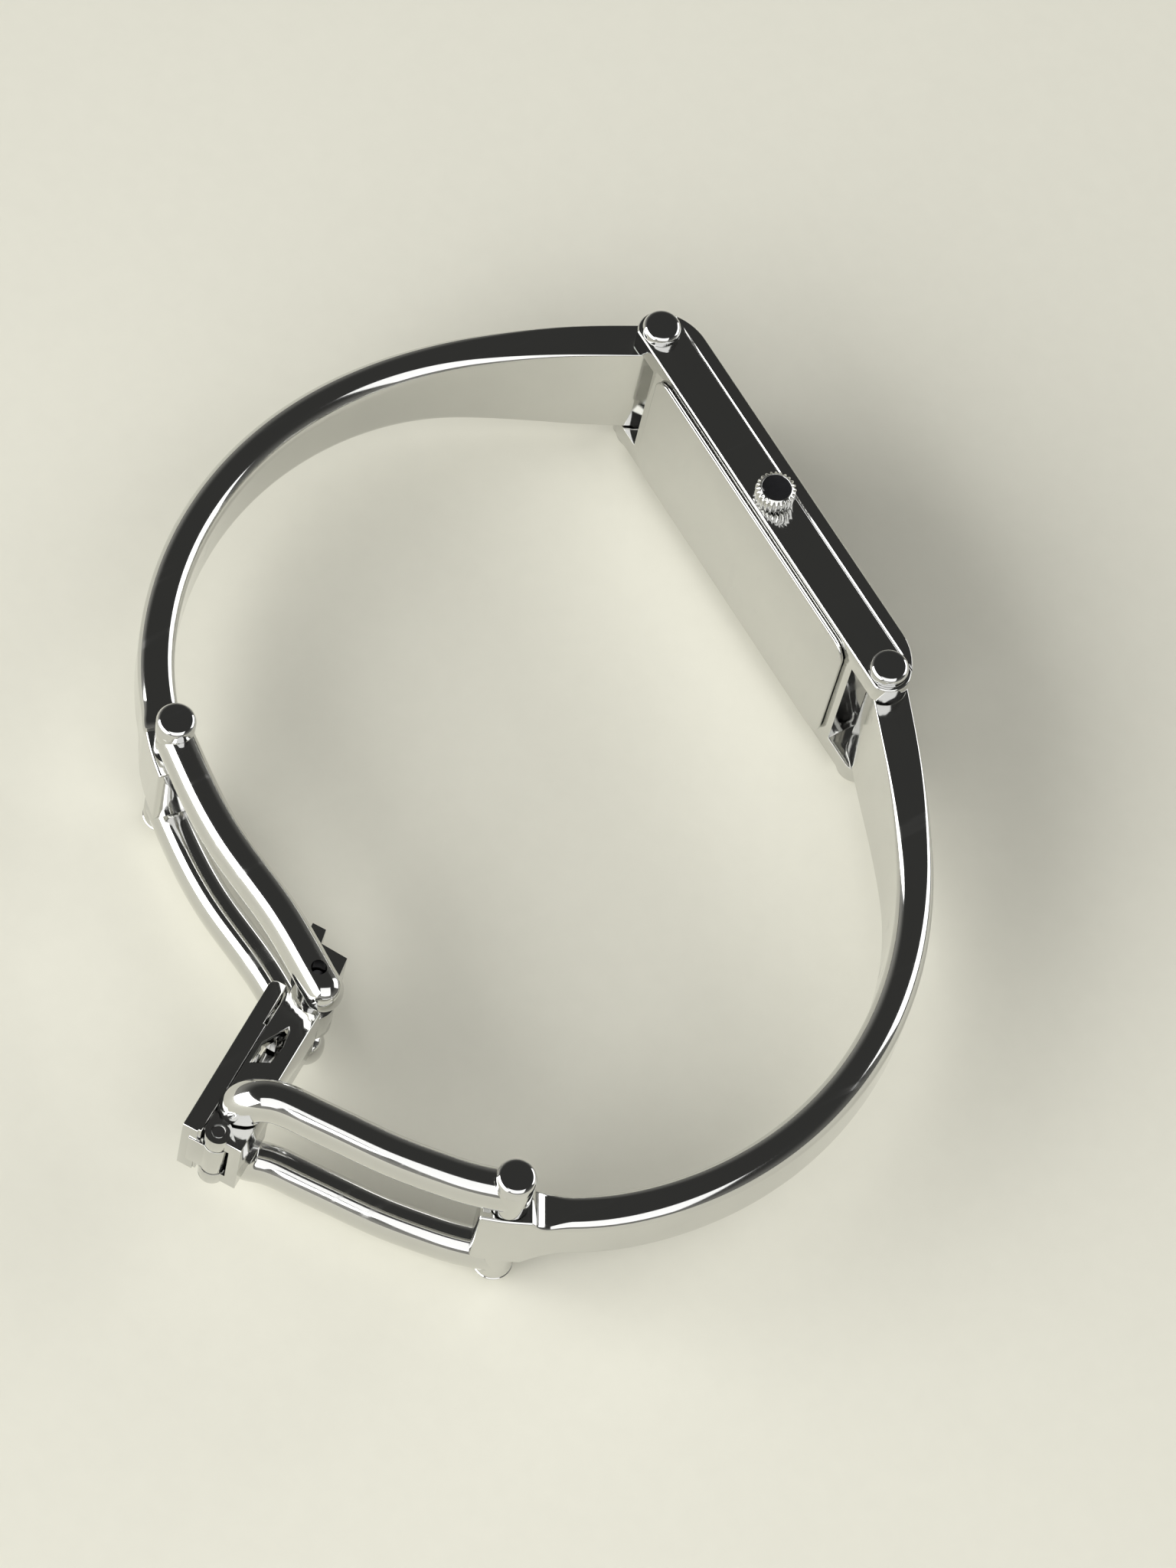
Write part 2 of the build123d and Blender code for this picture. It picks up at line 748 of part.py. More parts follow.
with BuildPart() as centre_wheel:
    with BuildSketch(layer(centre_arbor_top)):
        Circle(centre_arbor_radius)
    extrude(amount=centre_arbor_top - arbor_back)
    with BuildSketch(layer(centre_layer + wheel_thickness)):
        Polygon(*toothed(centre_wheel_radius, centre_teeth), align=None)
    extrude(amount=wheel_thickness)
    with BuildSketch(layer(motion_low_layer + motion_thickness)):
        Polygon(*toothed(cannon_radius, pinion_teeth), align=None)
    extrude(amount=motion_thickness)
save(centre_wheel.part, "centre_wheel")

with BuildPart() as minute_wheel:
    with BuildSketch(layer(motion_high_layer + motion_thickness)):
        with Locations((minute_x, minute_z)):
            Circle(minute_arbor_radius)
    extrude(amount=motion_high_layer + motion_thickness - arbor_front)
    with BuildSketch(layer(motion_low_layer + motion_thickness)):
        with Locations((minute_x, minute_z)):
            Polygon(*toothed(minute_wheel_radius, minute_teeth), align=None)
    extrude(amount=motion_thickness)
    with BuildSketch(layer(motion_high_layer + motion_thickness)):
        with Locations((minute_x, minute_z)):
            Polygon(*toothed(minute_pinion_radius, pinion_teeth), align=None)
    extrude(amount=motion_thickness)
save(minute_wheel.part, "minute_wheel")

with BuildPart() as hour_wheel:
    with BuildSketch(layer(hour_hand_height + hand_thickness)):
        Circle(hour_tube_radius)
    extrude(amount=hour_hand_height + hand_thickness - motion_high_layer)
    with BuildSketch(layer(motion_high_layer + motion_thickness)):
        Polygon(*toothed(hour_wheel_radius, hour_teeth), align=None)
    extrude(amount=motion_thickness)
    with BuildSketch(layer(hour_hand_height + hand_thickness)):
        Circle(hour_tube_bore)
    extrude(amount=hour_hand_height + hand_thickness - motion_high_layer, mode=Mode.SUBTRACT)
save(hour_wheel.part, "hour_wheel")

# crown side: tube in the case wall, stem, lever, fluted crown, inset and seal
with BuildPart() as crown_tube:
    with BuildSketch(Plane.XY.offset(tube_inner_z)):
        with Locations((0, hinge_height)):
            Circle(tube_hole_radius)
            Circle(tube_bore, mode=Mode.SUBTRACT)
    extrude(amount=tube_outer_z - tube_inner_z)
save(crown_tube.part, "crown_tube")

with BuildPart() as stem:
    with BuildSketch(Plane.XY.offset(stem_inner_z)):
        with Locations((0, hinge_height)):
            Circle(stem_radius)
    extrude(amount=stem_outer_z - stem_inner_z)
    with BuildSketch(Plane.XY.offset(stem_neck_z)):
        with Locations((0, hinge_height)):
            Circle(2 * stem_radius)
            Circle(stem_neck_radius, mode=Mode.SUBTRACT)
    extrude(amount=stem_neck_length, mode=Mode.SUBTRACT)
    chamfer(stem.edges().filter_by(GeomType.CIRCLE).sort_by(Axis.Z)[0], fine_break)
save(stem.part, "stem")

lever_z = stem_neck_z + (stem_neck_length - lever_thickness) / 2
with BuildPart() as setting_lever:
    with BuildSketch(Plane.XY.offset(lever_z)):
        with Locations((0, (lever_low + lever_high) / 2)):
            Rectangle(lever_width, lever_high - lever_low)
        with Locations((0, hinge_height)):
            Circle(stem_neck_radius + run_gap, mode=Mode.SUBTRACT)
        with Locations((0, lever_high)):
            Rectangle(2 * (stem_neck_radius + run_gap), 2 * (lever_high - hinge_height), mode=Mode.SUBTRACT)
    extrude(amount=lever_thickness)
save(setting_lever.part, "setting_lever")

with BuildPart() as crown:
    with BuildSketch(Plane.XY.offset(crown_foot)):
        with Locations((0, hinge_height)):
            Circle(crown_radius)
    extrude(amount=crown_top - crown_foot)
    chamfer(crown.edges(), edge_break)
    with BuildSketch(Plane.XY.offset(crown_foot)):
        with Locations((0, hinge_height)):
            with PolarLocations(crown_radius, crown_flutes):
                Circle(flute_radius)
    extrude(amount=crown_top - crown_foot, mode=Mode.SUBTRACT)
    with BuildSketch(Plane.XY.offset(crown_foot)):
        with Locations((0, hinge_height)):
            Circle(crown_recess_radius)
    extrude(amount=crown_recess_depth, mode=Mode.SUBTRACT)
    with BuildSketch(Plane.XY.offset(crown_foot)):
        with Locations((0, hinge_height)):
            Circle(stem_radius)
    extrude(amount=stem_outer_z - crown_foot, mode=Mode.SUBTRACT)
    with BuildSketch(Plane.XY.offset(crown_top)):
        with Locations((0, hinge_height)):
            Circle(inset_radius)
    extrude(amount=-inset_thickness - inset_sink, mode=Mode.SUBTRACT)
save(crown.part, "crown")

with BuildPart() as crown_inset:
    with BuildSketch(Plane.XY.offset(crown_top - inset_sink)):
        with Locations((0, hinge_height)):
            Circle(inset_radius)
    extrude(amount=-inset_thickness)
    fillet(crown_inset.faces().sort_by(Axis.Z)[-1].edges(), fine_break)
save(crown_inset.part, "crown_inset")

with BuildPart() as crown_gasket:
    with BuildSketch(Plane.XY.offset(crown_seal_z)):
        with Locations((0, hinge_height)):
            Circle(crown_recess_radius)
            Circle(tube_hole_radius + seat_gap, mode=Mode.SUBTRACT)
    extrude(amount=crown_seal_height)
save(crown_gasket.part, "crown_gasket")

# bangle arms, drawn from their case hinge; the lower one is the mirror image of the upper
upper_way = Vector(cos(radians(upper_heading)), sin(radians(upper_heading)), 0)
lower_way = Vector(cos(radians(lower_heading)), sin(radians(lower_heading)), 0)
upper_plane = Plane(origin=(pin_x, hinge_height, 0), x_dir=upper_way, z_dir=(0, 0, 1))
lower_plane = Plane(origin=(-pin_x, hinge_height, 0), x_dir=lower_way, z_dir=(0, 0, -1))
link_hinges = {}
for arm_name, arm_plane in (("upper_arm", upper_plane), ("lower_arm", lower_plane)):
    with BuildPart() as arm:
        with BuildLine(arm_plane) as centreline:
            straight = Line((0, arm_offset), (arm_straight, arm_offset))
            bend_one = JernArc(straight @ 1, straight % 1, arm_radius_one, -arm_angle_one)
            bend_two = JernArc(bend_one @ 1, bend_one % 1, arm_radius_two, -arm_angle_two)
            JernArc(bend_two @ 1, bend_two % 1, arm_radius_three, -arm_angle_three)
        spine = centreline.wire()
        for share, width_share, edge_share in zip(arm_station_shares, arm_width_shares, arm_edge_shares):
            with BuildSketch(Plane(origin=spine @ share, x_dir=(0, 0, 1), z_dir=spine % share)):
                RectangleRounded(arm_root_width * width_share, arm_thickness, arm_thickness * edge_share)
        loft()
        with BuildSketch(arm_plane):
            with Locations((0, arm_offset)):
                Circle(arm_thickness / 2)
        extrude(amount=arm_root_width / 2, both=True)
        tip_side = arm_plane.z_dir.cross(spine % 1)
        head_way = (spine % 1) * cos(radians(head_angle)) - tip_side * sin(radians(head_angle))
        head_plane = Plane(
            origin=spine @ 1 + (spine % 1) * head_advance, x_dir=head_way, z_dir=arm_plane.z_dir
        )
        with BuildSketch(head_plane):
            with BuildLine():
                Polyline(
                    (-head_root, -head_root_inner),
                    (-head_root, -head_root_outer),
                    (-head_outer * head_shoulder_share, head_outer),
                    (head_reach - head_edge, head_outer),
                    (head_reach, head_outer - head_edge),
                    (head_reach, -head_inner / 2),
                    (head_inner / 2, -head_inner),
                    (-head_inner, -head_inner),
                    (-head_root, -head_root_inner),
                )
            make_face()
        extrude(amount=head_width / 2, both=True)
        flare_z = head_neck_width / 2 + head_flare
        with BuildSketch(Plane(origin=head_plane.origin, x_dir=head_plane.x_dir, z_dir=head_plane.y_dir)):
            with Locations((-head_neck, flare_z), (-head_neck, -flare_z)):
                Circle(head_flare)
            with Locations((-head_neck - head_flare, flare_z), (-head_neck - head_flare, -flare_z)):
                Rectangle(2 * head_flare, 2 * head_flare)
        extrude(amount=head_root, both=True, mode=Mode.SUBTRACT)
        with BuildSketch(arm_plane, head_plane):
            Circle(pin_radius + run_gap)
        extrude(amount=case_half, both=True, mode=Mode.SUBTRACT)
    save(arm.part, arm_name)
    link_hinges[arm_name] = head_plane.origin

upper_hinge = link_hinges["upper_arm"]
lower_hinge = link_hinges["lower_arm"]
leg_middle_z = (link_half + slot_half) / 2
clasp_plane = placed(Plane.XY, clasp_start[0], clasp_start[1], clasp_heading)
lower_point = clasp_plane.from_local_coords(Vector(lower_pivot[0], lower_pivot[1], 0))
bar_point = clasp_plane.from_local_coords(Vector(bar_pivot[0], bar_pivot[1], 0))


def beside_chord(start, finish, shares, bows):
    # points at shares of the straight line between two points, each moved to its left by its bow
    chord = finish - start
    left = Vector(-chord.Y, chord.X, 0).normalized()
    return [start + chord * share + left * bow for share, bow in zip(shares, bows)]


# lower link: two separate legs with rounded ends, held together by the pins
leg_tip = lower_point + Vector(*lower_leg_tip, 0)
lower_leg_points = beside_chord(lower_hinge, leg_tip, lower_leg_shares, lower_leg_bows)
for leg_name, leg_side in (("lower_leg_crown_side", 1), ("lower_leg_far_side", -1)):
    with BuildPart() as leg:
        with BuildLine(Plane.XY.offset(leg_side * leg_middle_z)) as leg_line:
            Spline(*((point.X, point.Y) for point in (lower_hinge, *lower_leg_points, leg_tip)))
        leg_spine = leg_line.wire()
        with BuildSketch(Plane(origin=leg_spine @ 0, x_dir=(0, 0, 1), z_dir=leg_spine % 0)):
            RectangleRounded(leg_width, leg_thickness, leg_round)
        sweep(path=leg_spine)
        for share, way in ((0, -1), (1, 1)):
            with BuildSketch(Plane(origin=leg_spine @ share, x_dir=(0, 0, 1), z_dir=leg_spine % share)):
                RectangleRounded(leg_width, leg_thickness, leg_round)
                with Locations((0, -leg_thickness / 2)):
                    Rectangle(leg_width, leg_thickness, mode=Mode.SUBTRACT)
            revolve(axis=Axis(leg_spine @ share, (0, 0, way)), revolution_arc=180)
        with BuildSketch(Plane.XY.offset(leg_side * slot_half)):
            with Locations((lower_hinge.X, lower_hinge.Y)):
                Circle(leg_thickness / 2)
        extrude(amount=leg_side * leg_width)
        with BuildSketch():
            with Locations((lower_hinge.X, lower_hinge.Y)):
                Circle(pin_radius + seat_gap)
            with Locations((lower_point.X, lower_point.Y)):
                Circle(clasp_pin_radius + seat_gap)
        extrude(amount=case_half, both=True, mode=Mode.SUBTRACT)
    save(leg.part, leg_name)

# upper link: a stirrup whose legs turn through elbows into the cross bar
elbow_way = Vector(cos(radians(elbow_heading)), sin(radians(elbow_heading)), 0)
elbow_start = bar_point - elbow_way * elbow_turn_radius
upper_leg_points = beside_chord(upper_hinge, elbow_start, upper_leg_shares, upper_leg_bows)
with BuildPart() as upper_link:
    with BuildLine() as stirrup_line:
        Spline(
            *((point.X, point.Y, leg_middle_z) for point in (upper_hinge, *upper_leg_points, elbow_start)),
            tangents=[upper_leg_points[0] - upper_hinge, elbow_way],
        )
    stirrup_spine = stirrup_line.wire()
    with BuildSketch(Plane(origin=stirrup_spine @ 0, x_dir=(0, 0, 1), z_dir=stirrup_spine % 0)):
        RectangleRounded(leg_width, leg_thickness, leg_round)
    sweep(path=stirrup_spine)
    elbow_foot = (elbow_start.X, elbow_start.Y, leg_middle_z - elbow_turn_radius)
    with BuildSketch(Plane(origin=stirrup_spine @ 1, x_dir=(0, 0, 1), z_dir=elbow_way)):
        RectangleRounded(leg_width, leg_thickness, leg_round)
    revolve(axis=Axis(elbow_foot, elbow_way.cross(Vector(0, 0, -1))), revolution_arc=90)
    with BuildSketch(Plane(origin=stirrup_spine @ 0, x_dir=(0, 0, 1), z_dir=stirrup_spine % 0)):
        RectangleRounded(leg_width, leg_thickness, leg_round)
        with Locations((0, -leg_thickness / 2)):
            Rectangle(leg_width, leg_thickness, mode=Mode.SUBTRACT)
    revolve(axis=Axis(stirrup_spine @ 0, (0, 0, -1)), revolution_arc=180)
    with BuildSketch(Plane.XY.offset(slot_half)):
        with Locations((upper_hinge.X, upper_hinge.Y)):
            Circle(leg_thickness / 2)
    extrude(amount=leg_width)
    mirror(about=Plane.XY)
    with BuildSketch():
        with Locations((bar_point.X, bar_point.Y)):
            Circle(bar_radius)
    extrude(amount=slot_half + edge_break, both=True)
    with BuildSketch():
        with Locations((upper_hinge.X, upper_hinge.Y)):
            Circle(pin_radius + seat_gap)
    extrude(amount=case_half, both=True, mode=Mode.SUBTRACT)
save(upper_link.part, "upper_link")

# clasp frame: two cheeks, a floor on the wrist side, a hinge eye and a tail beyond it
with BuildPart() as clasp_frame:
    with BuildSketch(clasp_plane):
        with BuildLine():
            Polyline(
                (0, frame_top),
                (frame_end - end_relief, frame_top),
                (frame_end, frame_top + end_relief),
                (frame_end, hook_end_depth),
                (hook_start, hook_end_depth),
                (hook_start - floor_thickness, frame_floor),
                (0, frame_floor),
                (0, frame_top),
            )
        make_face()
        with Locations(lower_pivot):
            Circle(scoop_radius, mode=Mode.SUBTRACT)
        with BuildLine():
            Polyline(*window_points, window_points[0])
        make_face(mode=Mode.SUBTRACT)
        with Locations(bar_pivot):
            Circle(bar_radius + edge_break, mode=Mode.SUBTRACT)
        with Locations((bar_pivot[0], frame_top)):
            Rectangle(2 * (bar_radius + edge_break), 2 * (bar_pivot[1] - frame_top), mode=Mode.SUBTRACT)
    extrude(amount=clasp_half, both=True)
    chamfer(clasp_frame.faces().filter_by(Axis.Z).edges(), fine_break)
    with BuildSketch(clasp_plane):
        with Locations((frame_end / 2, (frame_floor - floor_thickness) / 2)):
            Rectangle(2 * frame_end, frame_floor - floor_thickness)
    extrude(amount=cheek_inside, both=True, mode=Mode.SUBTRACT)
    with BuildSketch(clasp_plane):
        with Locations(lower_pivot):
            Circle(eye_radius)
        with BuildLine():
            Polyline(
                lower_pivot,
                (spring_start - edge_break, spring_start),
                (spring_start - edge_break, frame_floor),
                (lower_pivot[0], frame_floor),
                lower_pivot,
            )
        make_face()
        with BuildLine():
            Polyline(*tail_points, tail_points[0])
        make_face()
    extrude(amount=eye_half, both=True)
    with BuildSketch(clasp_plane):
        with Locations(cover_pivot):
            Circle(cover_boss_radius)
    extrude(amount=clasp_half + cover_boss_height, both=True)
    with BuildSketch(clasp_plane):
        with Locations(cover_pivot):
            Circle(cover_boss_radius + edge_break)
    extrude(amount=cheek_inside, both=True, mode=Mode.SUBTRACT)
    with BuildSketch(clasp_plane):
        with Locations(lower_pivot):
            Circle(clasp_pin_radius + run_gap)
        with Locations(cover_pivot):
            Circle(cover_pin_radius + seat_gap)
    extrude(amount=case_half, both=True, mode=Mode.SUBTRACT)
save(clasp_frame.part, "clasp_frame")

# clasp cover: plate with thicker sides, latch block, keeper for the cross bar, hinge knuckle
with BuildPart() as clasp_cover:
    with BuildSketch(clasp_plane):
        with Locations((cover_length / 2, cover_thickness / 2)):
            Rectangle(cover_length, cover_thickness)
        with Locations(((cover_side_start + frame_end) / 2, cover_side_thickness / 2)):
            Rectangle(frame_end - cover_side_start, cover_side_thickness)
    extrude(amount=clasp_half, both=True)
    tip_point = clasp_plane.from_local_coords(Vector(0, 0, 0))
    fillet(clasp_cover.edges().filter_by(Axis.Z).sort_by_distance(tip_point)[0], cover_thickness / 2)
    chamfer(clasp_cover.faces().filter_by(Axis.Z).edges(), fine_break)
    with BuildSketch(clasp_plane):
        with Locations((cover_length / 2, cover_thickness + cover_thickness / 2)):
            Rectangle(2 * cover_length, cover_thickness)
    extrude(amount=cheek_inside, both=True, mode=Mode.SUBTRACT)
    with BuildSketch(clasp_plane):
        with Locations((latch_position + latch_length / 2, cover_thickness)):
            Rectangle(latch_length, 2 * latch_depth)
        with Locations((bar_pivot[0], cover_thickness)):
            Rectangle(2 * latch_length, 2 * (bar_pivot[1] - bar_radius - cover_thickness - 2 * edge_break))
        with BuildLine():
            Polyline(
                (0, 0), (0, -cover_thickness), (cover_length, -cover_thickness), (cover_length, 0), (0, 0)
            )
        make_face(mode=Mode.SUBTRACT)
    extrude(amount=eye_half - edge_break, both=True)
    with BuildSketch(clasp_plane):
        with Locations(cover_pivot):
            Circle(cover_knuckle_radius)
        with Locations((cover_pivot[0], (cover_pivot[1] + cover_thickness / 2) / 2)):
            Rectangle(2 * cover_knuckle_radius - 4 * edge_break, cover_pivot[1] - cover_thickness / 2)
        with Locations(cover_pivot):
            Circle(cover_pin_radius + run_gap, mode=Mode.SUBTRACT)
    extrude(amount=cover_knuckle_width / 2, both=True)
save(clasp_cover.part, "clasp_cover")

with BuildPart() as cover_pin:
    with BuildSketch(clasp_plane):
        with Locations(cover_pivot):
            Circle(cover_pin_radius)
    extrude(amount=clasp_half + cover_boss_height - fine_break, both=True)
    chamfer(cover_pin.edges().filter_by(GeomType.CIRCLE), fine_break)
save(cover_pin.part, "cover_pin")

# leaf spring on the frame's floor
with BuildPart() as latch_spring:
    with BuildSketch(clasp_plane):
        spring_depth = frame_floor - floor_thickness - spring_thickness / 2
        with Locations(((spring_start + spring_end) / 2, spring_depth)):
            Rectangle(spring_end - spring_start, spring_thickness)
    extrude(amount=spring_width / 2, both=True)
save(latch_spring.part, "latch_spring")

# clasp pin through the lower link, with a spacer ring on each side of the hinge eye
with BuildPart() as clasp_pin:
    with BuildSketch(clasp_plane):
        with Locations(lower_pivot):
            Circle(clasp_pin_radius)
    extrude(amount=clasp_pin_end, both=True)
    chamfer(clasp_pin.edges().filter_by(GeomType.CIRCLE), fine_break)
save(clasp_pin.part, "clasp_pin")

for spacer_name, spacer_side in (("clasp_spacer_crown_side", 1), ("clasp_spacer_far_side", -1)):
    with BuildPart() as spacer:
        with BuildSketch(clasp_plane.offset(spacer_side * slot_half)):
            with Locations(lower_pivot):
                Circle(clasp_pin_shoulder_radius)
                Circle(clasp_pin_radius + seat_gap, mode=Mode.SUBTRACT)
        extrude(amount=-spacer_side * (slot_half - eye_half - run_gap))
    save(spacer.part, spacer_name)

# hinge pins: a flat head on the crown side, a matching cap on the far side
pin_places = (
    ("case_twelve", pin_x, hinge_height, case_half),
    ("case_six", -pin_x, hinge_height, case_half),
    ("link_twelve", upper_hinge.X, upper_hinge.Y, link_half),
    ("link_six", lower_hinge.X, lower_hinge.Y, link_half),
)
for place_name, place_x, place_y, seat_z in pin_places:
    with BuildPart() as hinge_pin:
        with BuildSketch(Plane.XY.offset(seat_z)):
            with Locations((place_x, place_y)):
                Circle(pin_cap_radius)
        extrude(amount=pin_cap_top - seat_z)
        fillet(hinge_pin.faces().sort_by(Axis.Z)[-1].edges(), cap_edge)
        with BuildSketch(Plane.XY.offset(seat_z)):
            with Locations((place_x, place_y)):
                Circle(pin_radius)
        extrude(amount=-seat_z - pin_cap_top + pin_end_depth)
    save(hinge_pin.part, "hinge_pin_" + place_name)
    with BuildPart() as pin_cap:
        with BuildSketch(Plane.XY.offset(-pin_cap_top)):
            with Locations((place_x, place_y)):
                Circle(pin_cap_radius)
        extrude(amount=pin_cap_top - seat_z)
        fillet(pin_cap.faces().sort_by(Axis.Z)[0].edges(), cap_edge)
        with BuildSketch(Plane.XY.offset(-seat_z)):
            with Locations((place_x, place_y)):
                Circle(pin_radius + seat_gap)
        extrude(amount=-pin_cap_top + pin_end_depth + seat_z, mode=Mode.SUBTRACT)
    save(pin_cap.part, "pin_cap_" + place_name)
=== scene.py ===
import math

import bmesh
import bpy
import numpy as np
from mathutils import Matrix, Vector


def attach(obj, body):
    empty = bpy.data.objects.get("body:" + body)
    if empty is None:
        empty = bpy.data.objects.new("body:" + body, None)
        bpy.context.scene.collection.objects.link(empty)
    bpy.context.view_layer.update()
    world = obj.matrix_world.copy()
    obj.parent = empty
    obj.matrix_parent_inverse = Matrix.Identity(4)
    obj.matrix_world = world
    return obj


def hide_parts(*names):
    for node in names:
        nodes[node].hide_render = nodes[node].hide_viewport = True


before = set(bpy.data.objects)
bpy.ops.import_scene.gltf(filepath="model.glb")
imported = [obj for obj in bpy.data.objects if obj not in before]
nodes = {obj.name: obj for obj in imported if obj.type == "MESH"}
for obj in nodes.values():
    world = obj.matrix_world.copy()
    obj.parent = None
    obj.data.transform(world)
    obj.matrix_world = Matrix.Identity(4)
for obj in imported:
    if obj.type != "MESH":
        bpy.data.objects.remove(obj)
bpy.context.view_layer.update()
print("frame loaded with", len(nodes), "nodes")

mm = 0.001


def newMaterial(name):
    material = bpy.data.materials.new(name)
    material.use_nodes = True
    tree = material.node_tree
    shader = tree.nodes["Principled BSDF"]
    coords = tree.nodes.new("ShaderNodeTexCoord")
    coords.location = (-900, 0)
    return material, tree, shader, coords.outputs["Object"]


def newGroup(name, inputs, outputs):
    group = bpy.data.node_groups.new(name, "ShaderNodeTree")
    for label, kind, value in inputs:
        socket = group.interface.new_socket(name=label, in_out="INPUT", socket_type=kind)
        if value is not None:
            socket.default_value = value
    for label, kind in outputs:
        group.interface.new_socket(name=label, in_out="OUTPUT", socket_type=kind)
    start = group.nodes.new("NodeGroupInput")
    end = group.nodes.new("NodeGroupOutput")
    start.location = (-800, 0)
    end.location = (600, 0)
    return group, start, end


def useGroup(tree, group, **values):
    node = tree.nodes.new("ShaderNodeGroup")
    node.node_tree = group
    for label, value in values.items():
        node.inputs[label].default_value = value
    return node


def addMath(tree, operation, first, second):
    node = tree.nodes.new("ShaderNodeMath")
    node.operation = operation
    tree.links.new(first, node.inputs[0])
    tree.links.new(second, node.inputs[1])
    return node.outputs[0]


def addColourMix(tree, factor, first, second):
    node = tree.nodes.new("ShaderNodeMix")
    node.data_type = "RGBA"
    tree.links.new(factor, node.inputs["Factor"])
    tree.links.new(first, node.inputs["A"])
    tree.links.new(second, node.inputs["B"])
    return node.outputs["Result"]


def addBump(tree, shader, height, strength, distance):
    bump = tree.nodes.new("ShaderNodeBump")
    bump.inputs["Strength"].default_value = strength
    bump.inputs["Distance"].default_value = distance
    tree.links.new(height, bump.inputs["Height"])
    tree.links.new(bump.outputs["Normal"], shader.inputs["Normal"])


def linkMarks(tree, marks, coords, shader):
    # the marks lie on object coordinates and set the shader's colour and roughness
    tree.links.new(coords, marks.inputs["Vector"])
    tree.links.new(marks.outputs["Colour"], shader.inputs["Base Color"])
    tree.links.new(marks.outputs["Roughness"], shader.inputs["Roughness"])


def makePolishGroup():
    # hairlines: noise drawn out along one axis, thinned to a sparse mask; smudges: broad soft noise
    group, start, end = newGroup(
        "polishMarks",
        [
            ("Vector", "NodeSocketVector", None),
            ("Hairline Scale", "NodeSocketFloat", 900.0),
            ("Smudge Scale", "NodeSocketFloat", 140.0),
            ("Base Roughness", "NodeSocketFloat", 0.06),
            ("Hairline Roughness", "NodeSocketFloat", 0.16),
            ("Smudge Roughness", "NodeSocketFloat", 0.05),
            ("Colour", "NodeSocketColor", (0.62, 0.62, 0.61, 1)),
            ("Tint", "NodeSocketColor", (0.56, 0.56, 0.56, 1)),
        ],
        [
            ("Colour", "NodeSocketColor"),
            ("Roughness", "NodeSocketFloat"),
            ("Height", "NodeSocketFloat"),
        ],
    )
    put, link = group.nodes.new, group.links.new
    stretch = put("ShaderNodeMapping")
    stretch.inputs["Scale"].default_value = (1.0, 0.06, 0.35)
    stretch.inputs["Rotation"].default_value = (0.4, 0.2, 0.7)  # so that no face lies along it
    link(start.outputs["Vector"], stretch.inputs["Vector"])
    lines = put("ShaderNodeTexNoise")
    lines.inputs["Detail"].default_value = 3
    link(stretch.outputs["Vector"], lines.inputs["Vector"])
    link(start.outputs["Hairline Scale"], lines.inputs["Scale"])
    thin = put("ShaderNodeValToRGB")
    thin.color_ramp.elements[0].position = 0.60  # only the noise's peaks become hairlines
    thin.color_ramp.elements[1].position = 0.68
    link(lines.outputs["Fac"], thin.inputs["Fac"])
    smudge = put("ShaderNodeTexNoise")
    smudge.inputs["Detail"].default_value = 2
    link(start.outputs["Vector"], smudge.inputs["Vector"])
    link(start.outputs["Smudge Scale"], smudge.inputs["Scale"])
    # roughness = base + hairline mask times its share + smudge times its share
    hairPart = addMath(
        group, "MULTIPLY", thin.outputs["Color"], start.outputs["Hairline Roughness"])
    smudgePart = addMath(
        group, "MULTIPLY", smudge.outputs["Fac"], start.outputs["Smudge Roughness"])
    both = addMath(group, "ADD", hairPart, smudgePart)
    total = addMath(group, "ADD", both, start.outputs["Base Roughness"])
    shade = addColourMix(
        group, smudge.outputs["Fac"], start.outputs["Colour"], start.outputs["Tint"])
    link(shade, end.inputs["Colour"])
    link(total, end.inputs["Roughness"])
    link(smudge.outputs["Fac"], end.inputs["Height"])
    return group


def makeGrainGroup():
    # fine speckle: one detailed noise mixes the two colours and spreads the roughness
    group, start, end = newGroup(
        "fineGrain",
        [
            ("Vector", "NodeSocketVector", None),
            ("Scale", "NodeSocketFloat", 3000.0),
            ("Low Roughness", "NodeSocketFloat", 0.3),
            ("High Roughness", "NodeSocketFloat", 0.5),
            ("Colour", "NodeSocketColor", (0.5, 0.5, 0.5, 1)),
            ("Fleck", "NodeSocketColor", (0.4, 0.4, 0.4, 1)),
        ],
        [
            ("Colour", "NodeSocketColor"),
            ("Roughness", "NodeSocketFloat"),
            ("Height", "NodeSocketFloat"),
        ],
    )
    put, link = group.nodes.new, group.links.new
    fine = put("ShaderNodeTexNoise")
    fine.inputs["Detail"].default_value = 4
    link(start.outputs["Vector"], fine.inputs["Vector"])
    link(start.outputs["Scale"], fine.inputs["Scale"])
    spread = put("ShaderNodeMapRange")
    spread.inputs["From Min"].default_value = 0.3  # the noise seldom leaves this range
    spread.inputs["From Max"].default_value = 0.7
    link(fine.outputs["Fac"], spread.inputs["Value"])
    link(start.outputs["Low Roughness"], spread.inputs["To Min"])
    link(start.outputs["High Roughness"], spread.inputs["To Max"])
    shade = addColourMix(
        group, fine.outputs["Fac"], start.outputs["Colour"], start.outputs["Fleck"])
    link(shade, end.inputs["Colour"])
    link(spread.outputs["Result"], end.inputs["Roughness"])
    link(fine.outputs["Fac"], end.inputs["Height"])
    return group


